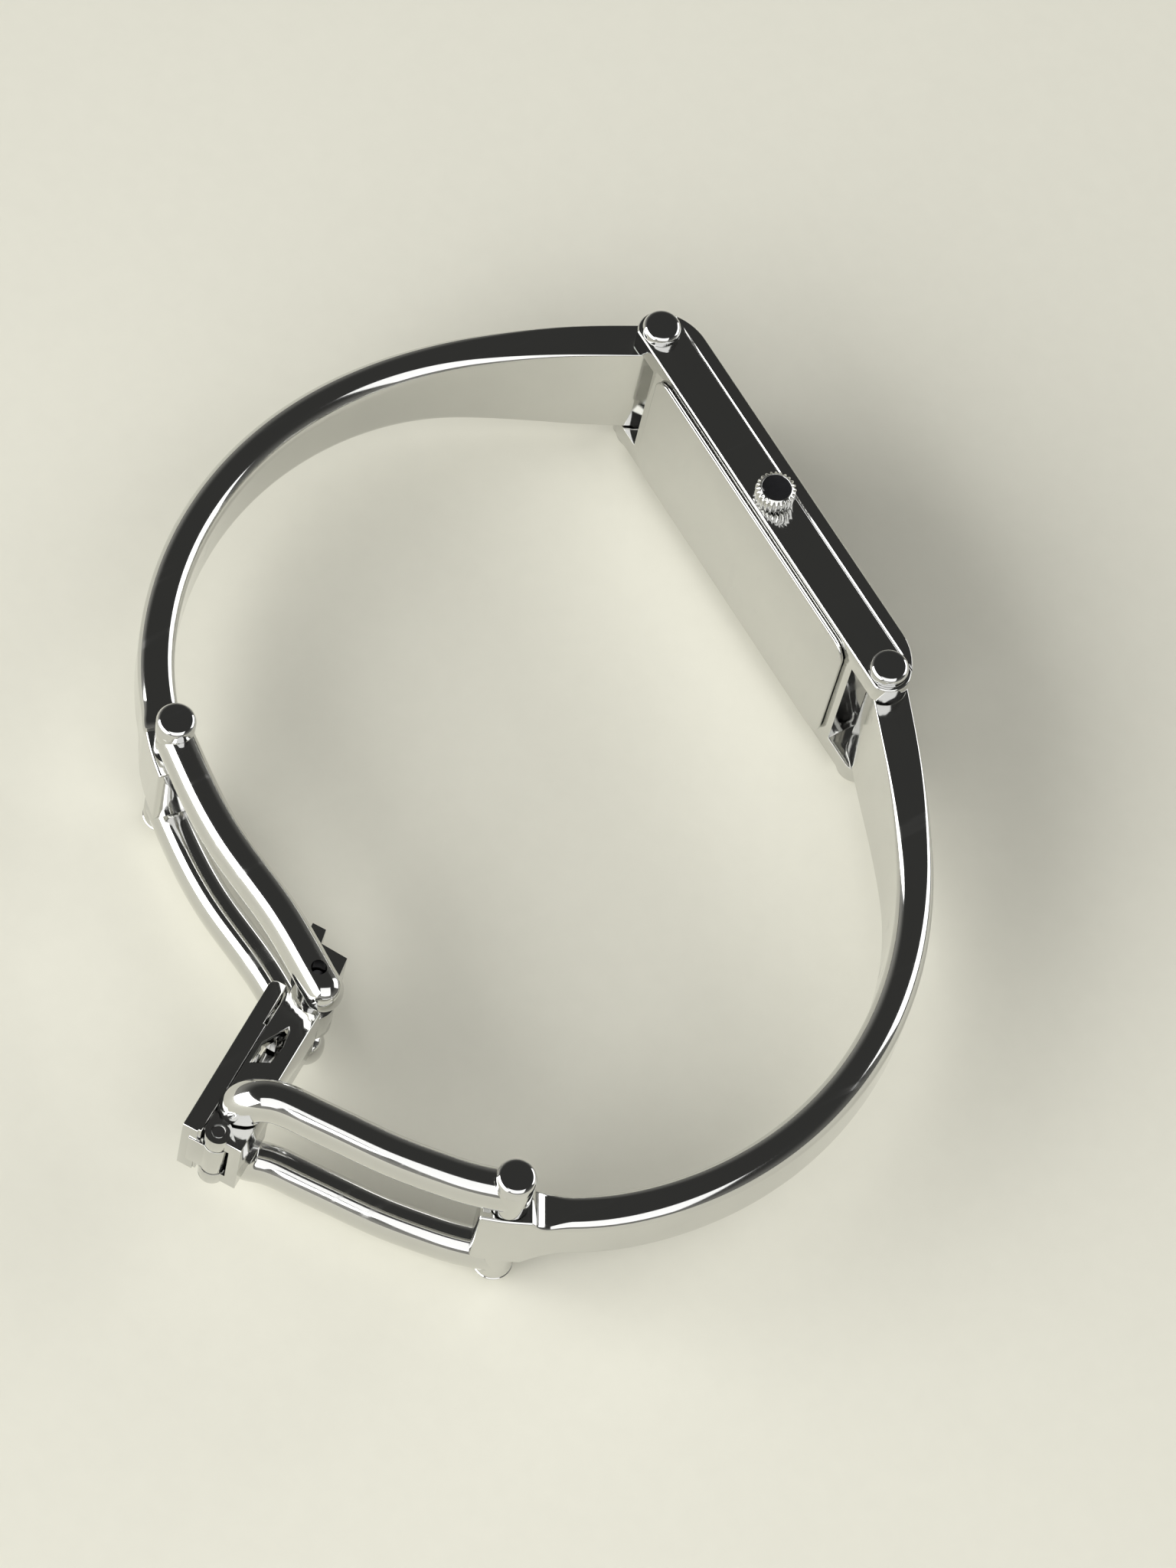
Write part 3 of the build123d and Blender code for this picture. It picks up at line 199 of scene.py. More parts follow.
def makeLineGroup():
    # straight brushing or winding: a wave along one axis with a little noise in it
    group, start, end = newGroup(
        "straightLines",
        [
            ("Vector", "NodeSocketVector", None),
            ("Scale", "NodeSocketFloat", 4000.0),
            ("Wander", "NodeSocketFloat", 1.0),
            ("Dark", "NodeSocketColor", (0.3, 0.3, 0.3, 1)),
            ("Light", "NodeSocketColor", (0.6, 0.6, 0.6, 1)),
        ],
        [("Colour", "NodeSocketColor"), ("Height", "NodeSocketFloat")],
    )
    put, link = group.nodes.new, group.links.new
    wave = put("ShaderNodeTexWave")
    wave.wave_type = "BANDS"
    wave.bands_direction = "X"
    link(start.outputs["Vector"], wave.inputs["Vector"])
    link(start.outputs["Scale"], wave.inputs["Scale"])
    link(start.outputs["Wander"], wave.inputs["Distortion"])
    shade = addColourMix(
        group, wave.outputs["Fac"], start.outputs["Dark"], start.outputs["Light"])
    link(shade, end.inputs["Colour"])
    link(wave.outputs["Fac"], end.inputs["Height"])
    return group


polishGroup = makePolishGroup()
grainGroup = makeGrainGroup()
lineGroup = makeLineGroup()

# how high the polish's faint waves are, and how strongly the line relief shows
waveDepth = 0.05 * mm
lineStrength = 0.5


def polishedMetal(name, colour, tint, rough, hairline=0.12, smudge=0.05, wave=0.0):
    material, tree, shader, coords = newMaterial(name)
    marks = useGroup(tree, polishGroup, **{
        "Base Roughness": rough, "Hairline Roughness": hairline, "Smudge Roughness": smudge,
        "Colour": colour, "Tint": tint,
    })
    linkMarks(tree, marks, coords, shader)
    shader.inputs["Metallic"].default_value = 1.0
    if wave:
        addBump(tree, shader, marks.outputs["Height"], wave, waveDepth)
    return material


def grainedMatter(name, colour, fleck, low, high, metallic=0.0, scale=3000.0, coat=0.0):
    material, tree, shader, coords = newMaterial(name)
    grain = useGroup(tree, grainGroup, **{
        "Scale": scale, "Low Roughness": low, "High Roughness": high,
        "Colour": colour, "Fleck": fleck,
    })
    linkMarks(tree, grain, coords, shader)
    shader.inputs["Metallic"].default_value = metallic
    shader.inputs["Coat Weight"].default_value = coat
    return material


def linedMatter(name, dark, light, scale, turn, metallic, rough, height):
    material, tree, shader, coords = newMaterial(name)
    mapping = tree.nodes.new("ShaderNodeMapping")
    mapping.inputs["Rotation"].default_value = turn
    lines = useGroup(tree, lineGroup, Scale=scale, Dark=dark, Light=light)
    tree.links.new(coords, mapping.inputs["Vector"])
    tree.links.new(mapping.outputs["Vector"], lines.inputs["Vector"])
    tree.links.new(lines.outputs["Colour"], shader.inputs["Base Color"])
    shader.inputs["Metallic"].default_value = metallic
    shader.inputs["Roughness"].default_value = rough
    addBump(tree, shader, lines.outputs["Height"], lineStrength, height)
    return material


def clearCrystal(name):
    material, tree, shader, coords = newMaterial(name)
    grain = useGroup(tree, grainGroup, **{
        "Scale": 900.0, "Low Roughness": 0.0, "High Roughness": 0.02,
        "Colour": (0.97, 0.98, 0.98, 1), "Fleck": (0.95, 0.97, 0.97, 1),
    })
    linkMarks(tree, grain, coords, shader)
    shader.inputs["Transmission Weight"].default_value = 1.0
    shader.inputs["IOR"].default_value = 1.76
    return material


steel = {"colour": (0.68, 0.68, 0.66, 1), "tint": (0.61, 0.61, 0.60, 1), "rough": 0.06}
mirrorSteel = polishedMetal("mirrorSteel", steel["colour"], steel["tint"], steel["rough"], 0.10)
backSteel = polishedMetal("backSteel", steel["colour"], steel["tint"], 0.05, 0.14, 0.07, 0.3)
pinSteel = polishedMetal("pinSteel", (0.68, 0.68, 0.67, 1), (0.6, 0.6, 0.6, 1), 0.04)
# painted shade: the clasp pin's near-black colour stands in for the dark its polished face shows,
# and is not the steel's own colour
paintedShadePin = polishedMetal(
    "paintedShadePin", (0.06, 0.06, 0.062, 1), (0.03, 0.03, 0.032, 1), 0.3, smudge=0.1)
crownSteel = polishedMetal(
    "crownSteel", (0.68, 0.68, 0.66, 1), (0.58, 0.58, 0.57, 1), 0.08, smudge=0.08)
workSteel = polishedMetal(
    "workSteel", (0.56, 0.56, 0.55, 1), (0.47, 0.47, 0.47, 1), 0.24, 0.2, 0.15)
springSteel = polishedMetal(
    "springSteel", (0.42, 0.44, 0.5, 1), (0.34, 0.36, 0.42, 1), 0.2, 0.15, 0.1)
gearBrass = polishedMetal(
    "gearBrass", (0.80, 0.62, 0.30, 1), (0.70, 0.52, 0.24, 1), 0.16, 0.15, 0.12)
plateBrass = linedMatter(
    "plateBrass", (0.62, 0.58, 0.46, 1), (0.74, 0.70, 0.57, 1),
    scale=700, turn=(0, 0.8, 0), metallic=1.0, rough=0.28, height=0.004 * mm)
greenBoard = linedMatter(
    "greenBoard", (0.02, 0.13, 0.06, 1), (0.05, 0.22, 0.11, 1),
    scale=260, turn=(0, 1.2, 0), metallic=0.0, rough=0.35, height=0.003 * mm)
copperWinding = linedMatter(
    "copperWinding", (0.35, 0.13, 0.05, 1), (0.83, 0.42, 0.20, 1),
    scale=1500, turn=(0, 0, 0), metallic=1.0, rough=0.3, height=0.02 * mm)
silverDial = grainedMatter(
    "silverDial", (0.80, 0.79, 0.74, 1), (0.70, 0.69, 0.64, 1),
    low=0.28, high=0.42, metallic=0.35, scale=2500)
blackHands = grainedMatter(
    "blackHands", (0.02, 0.02, 0.022, 1), (0.04, 0.04, 0.045, 1),
    low=0.12, high=0.25, scale=2500, coat=0.5)
blackInset = grainedMatter(
    "blackInset", (0.008, 0.008, 0.009, 1), (0.02, 0.02, 0.022, 1),
    low=0.04, high=0.12, scale=1800, coat=1.0)
blackRubber = grainedMatter(
    "blackRubber", (0.02, 0.02, 0.02, 1), (0.05, 0.05, 0.05, 1), low=0.6, high=0.85, scale=4000)
chipPlastic = grainedMatter(
    "chipPlastic", (0.025, 0.025, 0.027, 1), (0.05, 0.05, 0.05, 1), low=0.4, high=0.6, scale=5000)
clearSapphire = clearCrystal("clearSapphire")
print("materials made")

finishes = {
    mirrorSteel: ["case_middle", "bezel", "upper_arm", "lower_arm", "upper_link",
                  "lower_leg_crown_side", "lower_leg_far_side", "clasp_frame", "clasp_cover"],
    backSteel: ["case_back", "quartz_can"],
    pinSteel: ["hinge_pin_case_twelve", "hinge_pin_case_six",
               "hinge_pin_link_twelve", "hinge_pin_link_six",
               "pin_cap_case_twelve", "pin_cap_case_six",
               "pin_cap_link_twelve", "pin_cap_link_six",
               "cover_pin", "clasp_spacer_crown_side", "clasp_spacer_far_side"],
    paintedShadePin: ["clasp_pin"],
    crownSteel: ["crown", "crown_tube"],
    workSteel: ["stem", "setting_lever", "train_bridge", "battery",
                "coil_core", "stator", "dial_ring"],
    springSteel: ["latch_spring", "battery_strap"],
    gearBrass: ["centre_wheel", "hour_wheel", "minute_wheel",
                "third_wheel", "intermediate_wheel", "rotor"],
    plateBrass: ["movement_plate"],
    silverDial: ["dial"],
    blackHands: ["hour_hand", "minute_hand"],
    blackInset: ["crown_inset"],
    blackRubber: ["crown_gasket", "crystal_gasket", "back_gasket"],
    chipPlastic: ["driver_chip"],
    greenBoard: ["circuit_board"],
    copperWinding: ["coil"],
    clearSapphire: ["crystal"],
}

# how the edges of the CAD pieces are rounded: widths and gaps in mm, angles in degrees
edges = {
    "widths": {"case_middle": 0.035, "bezel": 0.02, "case_back": 0.24,
               "clasp_frame": 0.03, "clasp_cover": 0.03, "cover_pin": 0.03},
    "joinGap": 0.001, "flatAngle": 0.5, "segments": 3, "sharpAngle": 35,
    "roundedCrisp": 50, "plainCrisp": 30,
}


def crispEdges(piece, degrees):
    split = piece.modifiers.new("crispEdge", "EDGE_SPLIT")
    split.split_angle = math.radians(degrees)


def roundEdges(piece, width):
    # loose triangles joined, flat parts made one face, then every sharp edge gets a narrow rounding
    weld = piece.modifiers.new("joinFaces", "WELD")
    weld.merge_threshold = edges["joinGap"] * mm
    if width:
        flat = piece.modifiers.new("flatFaces", "DECIMATE")
        flat.decimate_type = "DISSOLVE"
        flat.angle_limit = math.radians(edges["flatAngle"])
        bevel = piece.modifiers.new("softEdge", "BEVEL")
        bevel.width = width
        bevel.segments = edges["segments"]
        bevel.limit_method = "ANGLE"
        bevel.angle_limit = math.radians(edges["sharpAngle"])
        bevel.use_clamp_overlap = piece.name.startswith("clasp")  # thin sheet: no spikes there
        bevel.harden_normals = True
    crispEdges(piece, edges["roundedCrisp"] if width else edges["plainCrisp"])
    piece.data.polygons.foreach_set("use_smooth", np.ones(len(piece.data.polygons), bool))


for material, names in finishes.items():
    for name in names:
        piece = nodes[name]
        piece.data.materials.clear()
        piece.data.materials.append(material)
        roundEdges(piece, edges["widths"].get(name, 0) * mm)
print("finishes set on", sum(len(names) for names in finishes.values()), "nodes")


# the legs of the links, as smooth surfaces carried along their centrelines
def smoothPath(points, startWay, endWay, steps):
    # a cubic curve through the points, by chord length: the slopes at the points solve the usual
    # three-diagonal system for an even bend, with the end slopes given, then each span is Hermite
    points = np.array(points, float)
    gap = np.linalg.norm(np.diff(points, axis=0), axis=1)
    place = np.concatenate(([0], np.cumsum(gap)))
    count = len(points)
    rows = np.zeros((count, count))
    wanted = np.zeros((count, 2))
    inner = np.arange(1, count - 1)
    rows[inner, inner - 1] = gap[1:]
    rows[inner, inner] = 2 * (gap[:-1] + gap[1:])
    rows[inner, inner + 1] = gap[:-1]
    rise = np.diff(points, axis=0) / gap[:, None]
    wanted[1:-1] = 3 * (gap[1:, None] * rise[:-1] + gap[:-1, None] * rise[1:])
    rows[0, 0] = rows[-1, -1] = 1
    wanted[0] = startWay / np.linalg.norm(startWay)
    wanted[-1] = endWay / np.linalg.norm(endWay)
    slopes = np.linalg.solve(rows, wanted)
    at = np.linspace(0, place[-1], steps)
    span = np.clip(np.searchsorted(place, at, side="right") - 1, 0, count - 2)
    length = gap[span][:, None]
    u = ((at - place[span]) / gap[span])[:, None]
    line = (points[span] * (2 * u ** 3 - 3 * u ** 2 + 1)
            + points[span + 1] * (3 * u ** 2 - 2 * u ** 3)
            + slopes[span] * length * (u ** 3 - 2 * u ** 2 + u)
            + slopes[span + 1] * length * (u ** 3 - u ** 2))
    way = np.gradient(line, axis=0)
    way[0], way[-1] = wanted[0], wanted[-1]
    return line, way / np.linalg.norm(way, axis=1)[:, None]


def legSection(settings, turns):
    # a squared-off oval: each half axis times the signed power 2 / squareness of cosine and sine
    power = 2 / settings["squareness"]
    across = np.sign(np.cos(turns)) * np.abs(np.cos(turns)) ** power * settings["thick"] / 2
    deep = np.sign(np.sin(turns)) * np.abs(np.sin(turns)) ** power * settings["deep"] / 2
    return across, deep


def carried(line, sideWays, deepWays, across, deep):
    # every point is the line's point plus across times its side way plus deep times its deep way
    return (line[:, None, :] + across[None, :, None] * sideWays[:, None, :]
            + deep[None, :, None] * deepWays[:, None, :])


def levelLine(line, ways, level):
    # a flat line at one height, with its side ways and its deep ways
    flat = np.column_stack([line, np.full(len(line), level)])
    sides = np.column_stack([-ways[:, 1], ways[:, 0], np.zeros(len(ways))])
    return flat, sides, np.tile([0.0, 0.0, 1.0], (len(line), 1))


def roundEnd(settings, centre, outWay):
    # half the section turned by half a turn about the pin's axis, from one side to the other
    half = np.linspace(math.pi / 2, -math.pi / 2, settings["round"] // 2 + 1)
    across, deep = legSection(settings, half)
    sweep = np.linspace(-math.pi / 2, math.pi / 2, settings["endSteps"])
    heading = math.atan2(outWay[1], outWay[0]) + sweep
    grid = np.empty((len(heading), len(half), 3))
    grid[..., 0] = centre[0] + np.cos(heading)[:, None] * across[None, :]
    grid[..., 1] = centre[1] + np.sin(heading)[:, None] * across[None, :]
    grid[..., 2] = centre[2] + deep[None, :]
    return grid


def turned(centre, profile, steps):
    # a profile of radius and height carried round an axis along Z through the centre
    angle = np.linspace(0, 2 * math.pi, steps)
    radius, height = np.array(profile, float).T
    grid = np.empty((steps, len(radius), 3))
    grid[..., 0] = centre[0] + np.cos(angle)[:, None] * radius[None, :]
    grid[..., 1] = centre[1] + np.sin(angle)[:, None] * radius[None, :]
    grid[..., 2] = height[None, :]
    return grid


# points nearer than the gap become one, and edges shorter than the second are dissolved
mergeGap = 0.002 * mm
shortEdge = 0.001 * mm


def gridPiece(name, grids, body, finish, replaced):
    # grids of points in mm joined into one closed mesh, doubles merged and faces turned outwards
    verts, faces, first = [], [], 0
    for grid in grids:
        rows, columns = grid.shape[:2]
        row, column = np.meshgrid(np.arange(rows - 1), np.arange(columns - 1), indexing="ij")
        corner = (first + row * columns + column).ravel()
        faces.append(np.stack([corner, corner + 1, corner + columns + 1, corner + columns], axis=1))
        verts.append(grid.reshape(-1, 3) * mm)
        first += rows * columns
    mesh = bpy.data.meshes.new(name)
    mesh.from_pydata(np.concatenate(verts), [], np.concatenate(faces).tolist())
    work = bmesh.new()
    work.from_mesh(mesh)
    bmesh.ops.remove_doubles(work, verts=work.verts, dist=mergeGap)
    bmesh.ops.dissolve_degenerate(work, edges=work.edges, dist=shortEdge)
    bmesh.ops.recalc_face_normals(work, faces=work.faces)
    work.to_mesh(mesh)
    work.free()
    mesh.polygons.foreach_set("use_smooth", np.ones(len(mesh.polygons), bool))
    mesh.materials.append(finish)
    piece = bpy.data.objects.new(name, mesh)
    bpy.context.scene.collection.objects.link(piece)
    if replaced:
        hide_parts(*replaced)
    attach(piece, body)
    return piece


def drillHole(piece, hole):
    # a round cutter of its own mesh takes the hole out of the piece, and is then removed
    low, high = hole["low"], hole["high"]
    cutter = bpy.data.objects.new("cutter", bpy.data.meshes.new("cutter"))
    angle = np.linspace(0, 2 * math.pi, hole["steps"], endpoint=False)
    ring = np.stack([hole["centre"][0] + np.cos(angle) * hole["radius"],
                     hole["centre"][1] + np.sin(angle) * hole["radius"]], axis=1)
    levels = [np.column_stack([ring, np.full(len(ring), z)]) for z in (low, high)]
    verts = np.concatenate(levels) * mm
    here = np.arange(hole["steps"])
    after = (here + 1) % hole["steps"]
    walls = np.stack([here, after, after + hole["steps"], here + hole["steps"]], axis=1).tolist()
    ends = [here[::-1].tolist(), (here + hole["steps"]).tolist()]
    cutter.data.from_pydata(verts, [], walls + ends)
    bpy.context.scene.collection.objects.link(cutter)
    cut = piece.modifiers.new("hole", "BOOLEAN")
    cut.object = cutter
    cut.operation = "DIFFERENCE"
    cut.solver = "EXACT"
    bpy.context.view_layer.update()
    depsgraph = bpy.context.evaluated_depsgraph_get()
    done = bpy.data.meshes.new_from_object(piece.evaluated_get(depsgraph))
    piece.modifiers.remove(cut)
    piece.data = done
    bpy.data.objects.remove(cutter)
    crispEdges(piece, leg["crisp"])


def besideChord(start, finish, shares, bows):
    # points at shares of the straight line between two points, each moved to its left by its bow
    start, finish = np.array(start), np.array(finish)
    chord = finish - start
    left = np.array([-chord[1], chord[0]]) / np.linalg.norm(chord)
    return [start + chord * share + left * bow for share, bow in zip(shares, bows)]


# sizes and places in mm: "deep" runs along the hinge pins, "middle" is a leg's height above the
# middle plane, a bow is how far the leg's line leaves its chord at that share of it
leg = {
    "thick": 2.75, "deep": 3.2, "middle": 5.0, "squareness": 2.3,
    "round": 64, "endSteps": 33, "steps": 120, "crisp": 50,
    "knuckle": 1.375, "knuckleLow": 3.42, "knuckleTop": 6.6, "knuckleEdge": 0.12,
    "knuckleRound": 6, "knuckleSteps": 73,
}
stirrup = {
    "hinge": (37.4273, -41.6923), "bar": (22.9725, -54.3062),
    "barRadius": 0.95, "barSteps": 40, "barOverlap": 0.02,
    "shares": (0.133, 0.29, 0.472, 0.663, 0.843), "bows": (0.404, 0.575, 0.572, 0.3, 0.009),
    "elbowHeading": -126.9, "elbowRadius": 1.68, "elbowSteps": 24,
}
looseLegs = {
    "hinge": (-3.2824, -45.2046), "clasp": (17.4075, -45.4919),
    "tip": (1.09, -0.11), "farTip": (0.3, -0.11),
    "shares": (0.206, 0.427, 0.702), "bows": (-0.464, -0.547, 0.022),
    "holeRadius": 0.56, "holeSteps": 48, "holeReach": (3.0, 7.0),
}


def knuckle(centre, side):
    # the round boss that carries the pin, with a small rounding at its rim
    turn = np.linspace(0, math.pi / 2, leg["knuckleRound"])
    rim = leg["knuckle"] - leg["knuckleEdge"] * (1 - np.cos(turn))
    top = leg["knuckleTop"] - leg["knuckleEdge"] * (1 - np.sin(turn))
    profile = [(0, leg["knuckleLow"]), (leg["knuckle"], leg["knuckleLow"])] + list(zip(rim, top))
    profile += [(0, leg["knuckleTop"])]
    profile = [(radius, side * height) for radius, height in profile]
    return turned(centre, profile, leg["knuckleSteps"])


def makeStirrup():
    # each leg's section is carried along its smooth line, then round the elbow, with a half-round
    # end and a knuckle at the pin, and the cross bar joins the two elbows
    bar = np.array(stirrup["bar"])
    heading = math.radians(stirrup["elbowHeading"])
    way = np.array([math.cos(heading), math.sin(heading)])
    elbow = bar - way * stirrup["elbowRadius"]
    between = besideChord(stirrup["hinge"], elbow, stirrup["shares"], stirrup["bows"])
    startWay = between[0] - np.array(stirrup["hinge"])
    line, ways = smoothPath([stirrup["hinge"], *between, elbow], startWay, way, leg["steps"])
    across, deep = legSection(leg, np.linspace(0, 2 * math.pi, leg["round"] + 1))
    grids = []
    for side in (1, -1):
        level = side * leg["middle"]
        flat, sides, deeps = levelLine(line, ways, level)
        # the elbow: a quarter circle from along the leg to straight down into the bar
        turn = np.linspace(0, math.pi / 2, stirrup["elbowSteps"])[1:]
        out = np.sin(turn) * stirrup["elbowRadius"]
        down = (1 - np.cos(turn)) * stirrup["elbowRadius"]
        bend = np.column_stack([elbow + out[:, None] * way, level - side * down])
        bendDeeps = np.column_stack([side * np.sin(turn)[:, None] * way, np.cos(turn)])
        bendSides = np.tile([-way[1], way[0], 0.0], (len(turn), 1))
        grids.append(carried(np.vstack([flat, bend]), np.vstack([sides, bendSides]),
                             np.vstack([deeps, bendDeeps]), across, deep))
        grids.append(roundEnd(leg, (*stirrup["hinge"], level), -ways[0]))
        # the elbow's last ring closes to its own middle, where the bar begins
        last = grids[-2][-1]
        grids.append(np.stack([last, np.tile(last.mean(axis=0), (len(last), 1))]))
        grids.append(knuckle(stirrup["hinge"], side))
    end = leg["middle"] - stirrup["elbowRadius"] + stirrup["barOverlap"]
    radius = stirrup["barRadius"]
    profile = [(0, -end), (radius, -end), (radius, end), (0, end)]
    grids.append(turned(stirrup["bar"], profile, stirrup["barSteps"]))
    piece = gridPiece("stirrup", grids, "upper_link", mirrorSteel, ["upper_link"])
    crispEdges(piece, leg["crisp"])


def makeLooseLeg(name, side, tipStep, replaced):
    # the section carried along the smooth line, with a half-round end at both pins
    tip = np.array(looseLegs["clasp"]) + np.array(tipStep)
    between = besideChord(looseLegs["hinge"], tip, looseLegs["shares"], looseLegs["bows"])
    startWay = between[0] - np.array(looseLegs["hinge"])
    points = [looseLegs["hinge"], *between, tip]
    line, ways = smoothPath(points, startWay, tip - between[-1], leg["steps"])
    level = side * leg["middle"]
    across, deep = legSection(leg, np.linspace(0, 2 * math.pi, leg["round"] + 1))
    grids = [
        carried(*levelLine(line, ways, level), across, deep),
        roundEnd(leg, (*looseLegs["hinge"], level), -ways[0]),
        roundEnd(leg, (*tip, level), ways[-1]),
    ]
    piece = gridPiece(name, grids, "lower_link", mirrorSteel, [replaced])
    low, high = sorted(side * reach for reach in looseLegs["holeReach"])
    drillHole(piece, {"centre": looseLegs["clasp"], "radius": looseLegs["holeRadius"],
                      "low": low, "high": high, "steps": looseLegs["holeSteps"]})
    boss = knuckle(looseLegs["hinge"], side)
    gridPiece(name + "_knuckle", [boss], "lower_link", mirrorSteel, [replaced])


# the bangle arms, as surfaces carried along their centrelines from the case hinge to the link
# hinge: widths are shares of rootHalf and edges shares of thick, both at the stations' shares of
# the blade's length, and the head's places are measured from the link hinge
arm = {
    "thick": 2.62, "offset": 0.36, "rootHalf": 5.0,
    "straight": 5.9, "radii": (73.0, 26.5, 21.2), "turns": (5.6, 78.8, 15.0),
    "stations": (0.0, 0.1, 0.2, 0.3, 0.4, 0.52, 0.66, 0.82, 1.0),
    "widths": (1.0, 0.975, 0.86, 0.73, 0.67, 0.63, 0.59, 0.53, 0.46),
    "edges": (0.03, 0.05, 0.21, 0.37, 0.44, 0.46, 0.44, 0.36, 0.26),
    "evenOut": 3.0, "leastEdge": 0.03,
    "headAdvance": 3.468, "headTurn": 7.6, "headEase": 1.0, "headReach": 1.9,
    "headHalf": 3.25, "headThick": 2.9, "headShift": 0.15, "headEdge": 0.22,
    "neck": 3.1, "flare": 1.7, "flareGap": 0.001, "flareEnd": 0.01, "swell": (-4.6, -1.8),
    "endRound": 0.22, "support": 0.05, "crisp": 40,
    "bladeSteps": 200, "headSteps": 90, "headSpan": 3, "fineSteps": 6001,
    "cornerSteps": 8, "rootSteps": 40,
}
armPlaces = {
    "bangle_arm_twelve": {
        "hinge": (15.69, 1.9), "heading": -21.28, "side": 1, "body": "upper_arm"},
    "bangle_arm_six": {
        "hinge": (-15.69, 1.9), "heading": 242.54, "side": -1, "body": "lower_arm"},
}


def squareLoop(halfAcross, halfDeep, edge):
    # a rectangle with quarter-circle corners, from the middle of one short side round and back:
    # corner centre plus edge radius times cosine and sine, with a support point beside each corner
    corner = np.linspace(0, math.pi / 2, arm["cornerSteps"])
    centreA, centreD, cosine, sine, moveA, moveD = [[0.0], [-1.0], [0.0], [-1.0], [0.0], [0.0]]
    lists = (centreA, centreD, cosine, sine, moveA, moveD)
    for quarter, (a, d) in enumerate(((1, -1), (1, 1), (-1, 1), (-1, -1))):
        angle = corner + (quarter - 1) * math.pi / 2
        angle = np.concatenate((angle[:1], angle, angle[-1:]))
        shift = np.zeros(len(angle))
        shift[0], shift[-1] = -arm["support"], arm["support"]
        alongA, alongD = -np.sin(angle), np.cos(angle)
        values = (np.full(len(angle), float(a)), np.full(len(angle), float(d)),
                  np.cos(angle), np.sin(angle), alongA * shift, alongD * shift)
        for wanted, value in zip(lists, values):
            wanted.extend(value)
        if quarter % 2:  # past every second corner lies the middle of a short side
            end = 1.0 if quarter == 1 else -1.0
            for wanted, value in zip(lists, (0.0, end, 0.0, end, 0.0, 0.0)):
                wanted.append(value)
    centreA, centreD, cosine, sine, moveA, moveD = (np.array(values)[None, :] for values in lists)
    edge = edge[:, None]
    across = centreA * (halfAcross[:, None] - edge) + edge * cosine + moveA
    deep = centreD * (halfDeep[:, None] - edge) + edge * sine + moveD
    return across, deep


def smoothStep(value, low, high):
    share = np.clip((value - low) / (high - low), 0, 1)
    return share * share * (3 - 2 * share)


def evened(along, values, reach):
    # the running mean over a soft window, so that the table's corners don't show in the reflection
    gap = (along[None, :] - along[:, None]) / reach
    weight = np.exp(-gap * gap) * np.gradient(along)[None, :]
    return (weight * values[None, :]).sum(axis=1) / weight.sum(axis=1)


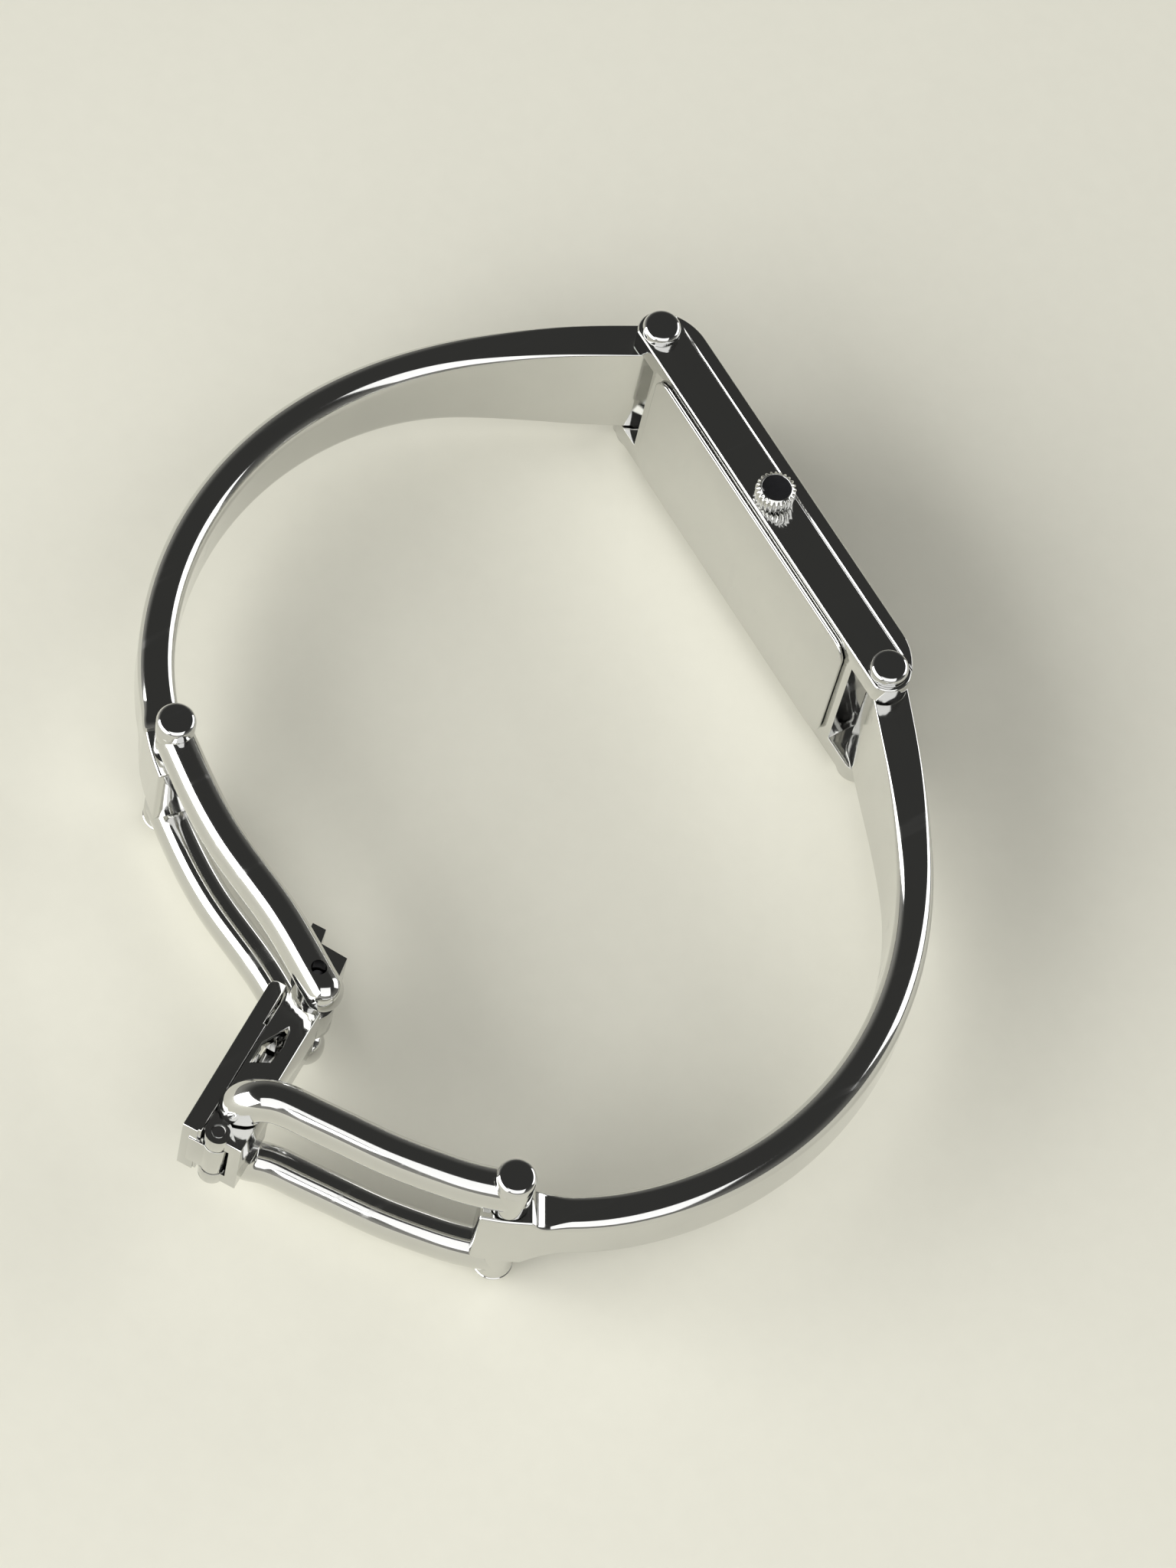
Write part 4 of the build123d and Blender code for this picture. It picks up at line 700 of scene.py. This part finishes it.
def makeArm(name, place):
    # every point is the centreline's point plus the rounded rectangle's two distances, one along
    # the line's left side and one along the hinge pins
    turns = np.radians(arm["turns"])
    spans = np.concatenate(([arm["straight"]], np.array(arm["radii"]) * turns))
    bladeLength = spans.sum()
    hinge = bladeLength + arm["headAdvance"]
    length = hinge + arm["headReach"]
    headStart = bladeLength - arm["headSpan"]
    along = np.concatenate((np.linspace(0, headStart, arm["bladeSteps"]),
                            np.linspace(headStart, length, arm["headSteps"])[1:]))
    # the heading falls by each arc's turn over its length, and by the head's turn about the hinge
    ease = arm["headEase"]
    marks = np.concatenate(([0], np.cumsum(spans), [hinge - ease, hinge + ease, length]))
    falls = np.concatenate(([0, 0], np.cumsum(turns)))
    headFall = falls[-1] + math.radians(arm["headTurn"])
    fall = np.concatenate((falls, [falls[-1], headFall, headFall]))
    fine = np.linspace(0, length, arm["fineSteps"])
    heading = -np.interp(fine, marks, fall)
    step = fine[1]
    between = (heading[1:] + heading[:-1]) / 2
    x = np.concatenate(([0], np.cumsum(np.cos(between) * step)))
    y = np.concatenate(([0], np.cumsum(np.sin(between) * step))) + arm["offset"]
    x, y, heading = (np.interp(along, fine, values) for values in (x, y, heading))
    share = along / bladeLength
    table = np.array(arm["stations"])
    half = evened(along, np.interp(share, table, arm["widths"]), arm["evenOut"]) * arm["rootHalf"]
    edge = evened(along, np.interp(share, table, arm["edges"]), arm["evenOut"]) * arm["thick"]
    # the head: a hollow quarter round up to its full width, swelling a little in thickness
    fromHinge = along - hinge
    hollow = np.clip(fromHinge + arm["neck"], 0, arm["flare"] - arm["flareGap"])
    flared = half + arm["flare"] - np.sqrt(arm["flare"] ** 2 - hollow ** 2)
    half = np.where(fromHinge > -arm["neck"], np.minimum(flared, arm["headHalf"]), half)
    flareEnd = arm["flare"] - arm["neck"] - arm["flareEnd"]
    half = np.where(fromHinge > flareEnd, arm["headHalf"], half)
    swell = smoothStep(fromHinge, *arm["swell"])
    thick = arm["thick"] / 2 + (arm["headThick"] - arm["thick"]) / 2 * swell
    shift = arm["headShift"] * swell
    edge = edge + (arm["headEdge"] - edge) * swell
    # the free end rounds off: width and thickness shrink by a quarter circle
    into = np.clip(along - (length - arm["endRound"]), 0, arm["endRound"])
    shrink = arm["endRound"] - np.sqrt(np.maximum(arm["endRound"] ** 2 - into ** 2, 0))
    across, deep = squareLoop(thick - shrink, half - shrink, np.maximum(edge, arm["leastEdge"]))
    rootHeading = math.radians(place["heading"])
    way = np.array([math.cos(rootHeading), math.sin(rootHeading)])
    left = np.array([-way[1], way[0]]) * place["side"]
    alongWay = np.cos(heading)[:, None] * way + np.sin(heading)[:, None] * left
    sideWay = -np.sin(heading)[:, None] * way + np.cos(heading)[:, None] * left
    line = np.array(place["hinge"]) + x[:, None] * way + y[:, None] * left
    line += shift[:, None] * sideWay
    flat = np.column_stack([line, np.zeros(len(line))])
    sides = np.column_stack([sideWay, np.zeros(len(line))])
    blade = (flat[:, None, :] + across[..., None] * sides[:, None, :]
             + deep[..., None] * np.array([0.0, 0.0, 1.0]))
    # the root: the half section turned by half a turn about the centreline's start
    middle = across.shape[1] // 2
    turn = np.linspace(0, math.pi, arm["rootSteps"])
    spread = np.cos(turn)[:, None] * sideWay[0] - np.sin(turn)[:, None] * alongWay[0]
    root = np.empty((len(turn), middle + 1, 3))
    root[..., :2] = line[0] + across[0, None, :middle + 1, None] * spread[:, None, :]
    root[..., 2] = deep[0, None, :middle + 1]
    last = blade[-1]
    cap = np.stack([last, np.tile(last.mean(axis=0), (len(last), 1))])
    piece = gridPiece(name, [blade, root, cap], place["body"], mirrorSteel, [place["body"]])
    crispEdges(piece, arm["crisp"])


# the hinge pins with their crowned heads, and the caps on their far ends, as turned pieces: radii
# of shank, head and its flat, and the head's fall from flat to rim
pin = {
    "shank": 0.6, "head": 1.4, "flat": 0.98, "flatShare": 0.97, "crown": 0.46, "top": 7.75,
    "collar": 0.05, "roundSteps": 14, "steps": 97, "crisp": 40,
}
# heights along a pin in mm: the seat of head and cap, the shank's foot and the cap's flat
pinPlaces = {
    "case_twelve": {
        "centre": (15.69, 1.9), "body": "watch_head", "seat": 6.9, "foot": 7.3, "cap": 7.75},
    "case_six": {
        "centre": (-15.69, 1.9), "body": "watch_head", "seat": 6.9, "foot": 7.3, "cap": 7.75},
    "link_twelve": {
        "centre": (37.4273, -41.6923), "body": "upper_link", "seat": 6.6, "foot": 6.8, "cap": 6.95},
    "link_six": {
        "centre": (-3.2824, -45.2046), "body": "lower_link", "seat": 6.6, "foot": 6.8, "cap": 6.95},
}


def headProfile(seat, top):
    # flat top, then a quarter of an oval down to the rim, the wall, a fine relief and the seat
    fall = min(pin["crown"], (top - seat) / 2)
    turn = np.linspace(0, math.pi / 2, pin["roundSteps"])
    radius = pin["flat"] + (pin["head"] - pin["flat"]) * np.sin(turn)
    height = top - fall * (1 - np.cos(turn))
    profile = [(0, top), (pin["flat"] * pin["flatShare"], top)] + list(zip(radius, height))
    return profile + [(pin["head"], seat + pin["collar"]), (pin["head"] - pin["collar"], seat)]


def makePins(name, place):
    # the pin's profile runs down its head and shank, the cap's is a head upside down
    profile = headProfile(place["seat"], pin["top"])
    shank = [(pin["shank"], place["seat"]), (pin["shank"], -place["foot"]), (0, -place["foot"])]
    grid = turned(place["centre"], profile + shank, pin["steps"])
    piece = gridPiece(
        "turned_pin_" + name, [grid], place["body"], pinSteel, ["hinge_pin_" + name])
    crispEdges(piece, pin["crisp"])
    profile = headProfile(place["seat"], place["cap"])
    cap = [(radius, -height) for radius, height in profile + [(0, place["seat"])]]
    grid = turned(place["centre"], cap, pin["steps"])
    piece = gridPiece(
        "turned_cap_" + name, [grid], place["body"], pinSteel, ["pin_cap_" + name])
    crispEdges(piece, pin["crisp"])


# the crown with its fluted flank and dished inset: the profile gives radius, height and how much
# of the flutes' depth is cut there
crown = {
    "centre": (0.0, 1.9), "flutes": 24, "depth": 0.18, "sharpness": 1.8, "steps": 385, "crisp": 70,
    "profile": (
        (0.5, 7.02, 0), (1.30, 7.02, 0.4), (1.42, 7.08, 1), (1.47, 7.2, 1), (1.49, 7.6, 1),
        (1.49, 8.15, 1), (1.475, 8.23, 1), (1.44, 8.28, 1), (1.36, 8.335, 0.8),
        (1.28, 8.385, 0.3), (1.20, 8.43, 0), (1.15, 8.46, 0), (1.12, 8.48, 0), (1.09, 8.485, 0),
        (1.075, 8.46, 0), (1.07, 8.40, 0), (1.07, 8.2, 0), (0.5, 8.2, 0)),
    "insetRadius": 1.06, "insetLow": 8.22, "insetRise": 0.16, "insetFoot": 8.2,
    "dishSteps": 16, "insetSteps": 97, "insetCrisp": 50,
}
# the bars on the dial, at twelve equal angles, each where its line meets the reach along X or Z
hourBars = {
    "count": 12, "reachX": 10.2, "reachZ": 3.6, "slope": 0.05, "length": 0.94, "width": 0.25,
    "rise": 0.09, "dialTop": 3.2, "archSteps": 9, "lengthSteps": 28, "blunt": 8,
}


def makeCrown():
    # radius is the profile's radius less the flute depth times a rounded wave round the axis,
    # as far as the profile's third value says
    radius, height, share = np.array(crown["profile"], float).T
    angle = np.linspace(0, 2 * math.pi, crown["steps"])
    wave = (0.5 - 0.5 * np.cos(angle * crown["flutes"])) ** crown["sharpness"]
    cut = crown["depth"] * wave[:, None] * share[None, :]
    grid = np.empty((len(angle), len(radius), 3))
    grid[..., 0] = crown["centre"][0] + np.cos(angle)[:, None] * (radius[None, :] - cut)
    grid[..., 1] = crown["centre"][1] + np.sin(angle)[:, None] * (radius[None, :] - cut)
    grid[..., 2] = height[None, :]
    piece = gridPiece("fluted_crown", [grid], "crown", crownSteel, ["crown"])
    crispEdges(piece, crown["crisp"])
    # the inset is a shallow dish: its height grows with the square of the radius
    reach = np.linspace(0, crown["insetRadius"], crown["dishSteps"])
    dish = crown["insetLow"] + crown["insetRise"] * (reach / crown["insetRadius"]) ** 2
    foot = [(crown["insetRadius"], crown["insetFoot"]), (0, crown["insetFoot"])]
    grid = turned(crown["centre"], list(zip(reach, dish)) + foot, crown["insetSteps"])
    inset = gridPiece("crown_dish", [grid], "crown", blackInset, ["crown_inset"])
    crispEdges(inset, crown["insetCrisp"])


def makeHourBars():
    # each bar is a half-round arch carried along its length; the root of one less the place to the
    # blunt power, zero at both ends, closes it there
    turn = np.linspace(0, math.pi, hourBars["archSteps"])
    place = np.linspace(-1, 1, hourBars["lengthSteps"])
    close = np.maximum(1 - np.abs(place) ** hourBars["blunt"], 0) ** 0.5
    grids = []
    for hour in range(hourBars["count"]):
        angle = 2 * math.pi * hour / hourBars["count"]
        way = np.array([math.cos(angle), math.sin(angle)])
        reach = min(hourBars["reachX"] / max(abs(way[0]), hourBars["slope"]),
                    hourBars["reachZ"] / max(abs(way[1]), hourBars["slope"]))
        along = (reach + place * hourBars["length"] / 2)[:, None]
        across = close[:, None] * np.cos(turn)[None, :] * hourBars["width"] / 2
        grid = np.empty((len(place), len(turn), 3))
        grid[..., 0] = along * way[0] - across * way[1]
        grid[..., 2] = along * way[1] + across * way[0]
        height = close[:, None] * np.sin(turn)[None, :] * hourBars["rise"]
        grid[..., 1] = hourBars["dialTop"] + height
        grids.append(grid)
    gridPiece("hour_bars", grids, "watch_head", blackHands, [])


makeCrown()
makeHourBars()
print("crown and hour bars made")
for name, place in armPlaces.items():
    makeArm(name, place)
for name, place in pinPlaces.items():
    makePins(name, place)
print("bangle arms and pins made")
makeStirrup()
makeLooseLeg("loose_leg_crown_side", 1, looseLegs["tip"], "lower_leg_crown_side")
makeLooseLeg("loose_leg_far_side", -1, looseLegs["farTip"], "lower_leg_far_side")
print("stirrup and loose legs made")


# the floor, the lamps, the sky and the camera, in metres; a lamp's size is its width and height,
# and the sky's ranges run over the upright and the window side's parts of the direction
stageSet = {
    "floorZ": -7.75 * mm, "floorSize": 6.0, "floorColour": (0.78, 0.765, 0.66, 1),
    "floorFleck": 0.96, "floorGrain": 600.0, "floorRough": (0.85, 0.95),
    "lampAim": (0.01, -0.022, 0),
    "skyHigh": (0.045, 0.045, 0.043, 1), "skyLow": (0.34, 0.335, 0.31, 1),
    "skyRise": (0.72, 0.10), "skyWindowSide": (0.9, -0.9), "skyFarShare": 0.35,
}
lamps = {
    "windowLamp": {"place": (-0.20, -1.02, 0.46), "size": (1.65, 0.92), "power": 22.0},
    "fillLamp": {"place": (0.55, -0.25, 0.62), "size": (0.9, 0.9), "power": 3.8},
    "backLamp": {"place": (0.10, 0.62, 0.30), "size": (0.6, 0.4), "power": 1.8},
}
# the photograph's view: focal length and height in its pixels, the direction of sight, the way up
# and the place
photoCamera = {
    "focalPixels": 8053, "pixelsHigh": 2048, "sensorHeight": 36, "clip": (0.01, 10),
    "look": (-0.34291, 0.33774, -0.87655), "up": (-0.79020, 0.40084, 0.46358),
    "place": (0.16075, -0.16665, 0.38257),
}


def makeFloor():
    half, level = stageSet["floorSize"] / 2, stageSet["floorZ"]
    corners = [(-half, -half, level), (half, -half, level),
               (half, half, level), (-half, half, level)]
    mesh = bpy.data.meshes.new("floor")
    mesh.from_pydata(corners, [], [(0, 1, 2, 3)])
    floor = bpy.data.objects.new("floor", mesh)
    bpy.context.scene.collection.objects.link(floor)
    material, tree, shader, coords = newMaterial("paleFloor")
    low, high = stageSet["floorRough"]
    fleck = tuple(stageSet["floorFleck"] * part for part in stageSet["floorColour"][:3]) + (1,)
    grain = useGroup(tree, grainGroup, **{
        "Scale": stageSet["floorGrain"], "Low Roughness": low, "High Roughness": high,
        "Colour": stageSet["floorColour"], "Fleck": fleck,
    })
    linkMarks(tree, grain, coords, shader)
    mesh.materials.append(material)


def addLamp(name, settings):
    data = bpy.data.lights.new(name, "AREA")
    data.shape = "RECTANGLE"
    data.size, data.size_y = settings["size"]
    data.energy = settings["power"]
    lamp = bpy.data.objects.new(name, data)
    lamp.location = settings["place"]
    aim = Vector(stageSet["lampAim"]) - Vector(settings["place"])
    lamp.rotation_euler = aim.to_track_quat("-Z", "Y").to_euler()
    bpy.context.scene.collection.objects.link(lamp)


def makeSky():
    # a soft room: dark overhead, paler towards the horizon, and more so on the window's side
    world = bpy.data.worlds.new("softSky")
    world.use_nodes = True
    tree = world.node_tree
    coords = tree.nodes.new("ShaderNodeTexCoord")
    apart = tree.nodes.new("ShaderNodeSeparateXYZ")
    tree.links.new(coords.outputs["Generated"], apart.inputs["Vector"])
    ranges = []
    for axis, (low, high), least in (("Z", stageSet["skyRise"], 0.0),
                                     ("Y", stageSet["skyWindowSide"], stageSet["skyFarShare"])):
        spread = tree.nodes.new("ShaderNodeMapRange")
        spread.interpolation_type = "SMOOTHSTEP"
        spread.inputs["From Min"].default_value = low
        spread.inputs["From Max"].default_value = high
        spread.inputs["To Min"].default_value = least
        tree.links.new(apart.outputs[axis], spread.inputs["Value"])
        ranges.append(spread.outputs["Result"])
    both = addMath(tree, "MULTIPLY", *ranges)
    shade = tree.nodes.new("ShaderNodeMix")
    shade.data_type = "RGBA"
    shade.inputs["A"].default_value = stageSet["skyHigh"]
    shade.inputs["B"].default_value = stageSet["skyLow"]
    tree.links.new(both, shade.inputs["Factor"])
    tree.links.new(shade.outputs["Result"], tree.nodes["Background"].inputs["Color"])
    bpy.context.scene.world = world


def addCamera():
    data = bpy.data.cameras.new("photoCamera")
    data.sensor_fit = "VERTICAL"
    data.sensor_height = photoCamera["sensorHeight"]
    data.lens = photoCamera["focalPixels"] * photoCamera["sensorHeight"] / photoCamera["pixelsHigh"]
    data.clip_start, data.clip_end = photoCamera["clip"]
    camera = bpy.data.objects.new("photoCamera", data)
    look = Vector(photoCamera["look"]).normalized()
    up = Vector(photoCamera["up"])
    right = look.cross(up).normalized()
    up = right.cross(look).normalized()
    turn = Matrix((right, up, -look)).transposed().to_4x4()
    turn.translation = Vector(photoCamera["place"])
    camera.matrix_world = turn
    bpy.context.scene.collection.objects.link(camera)
    bpy.context.scene.camera = camera


makeFloor()
for name, settings in lamps.items():
    addLamp(name, settings)
addCamera()
makeSky()
bpy.context.scene.view_settings.view_transform = "Standard"
print("stage, lamps and camera placed")
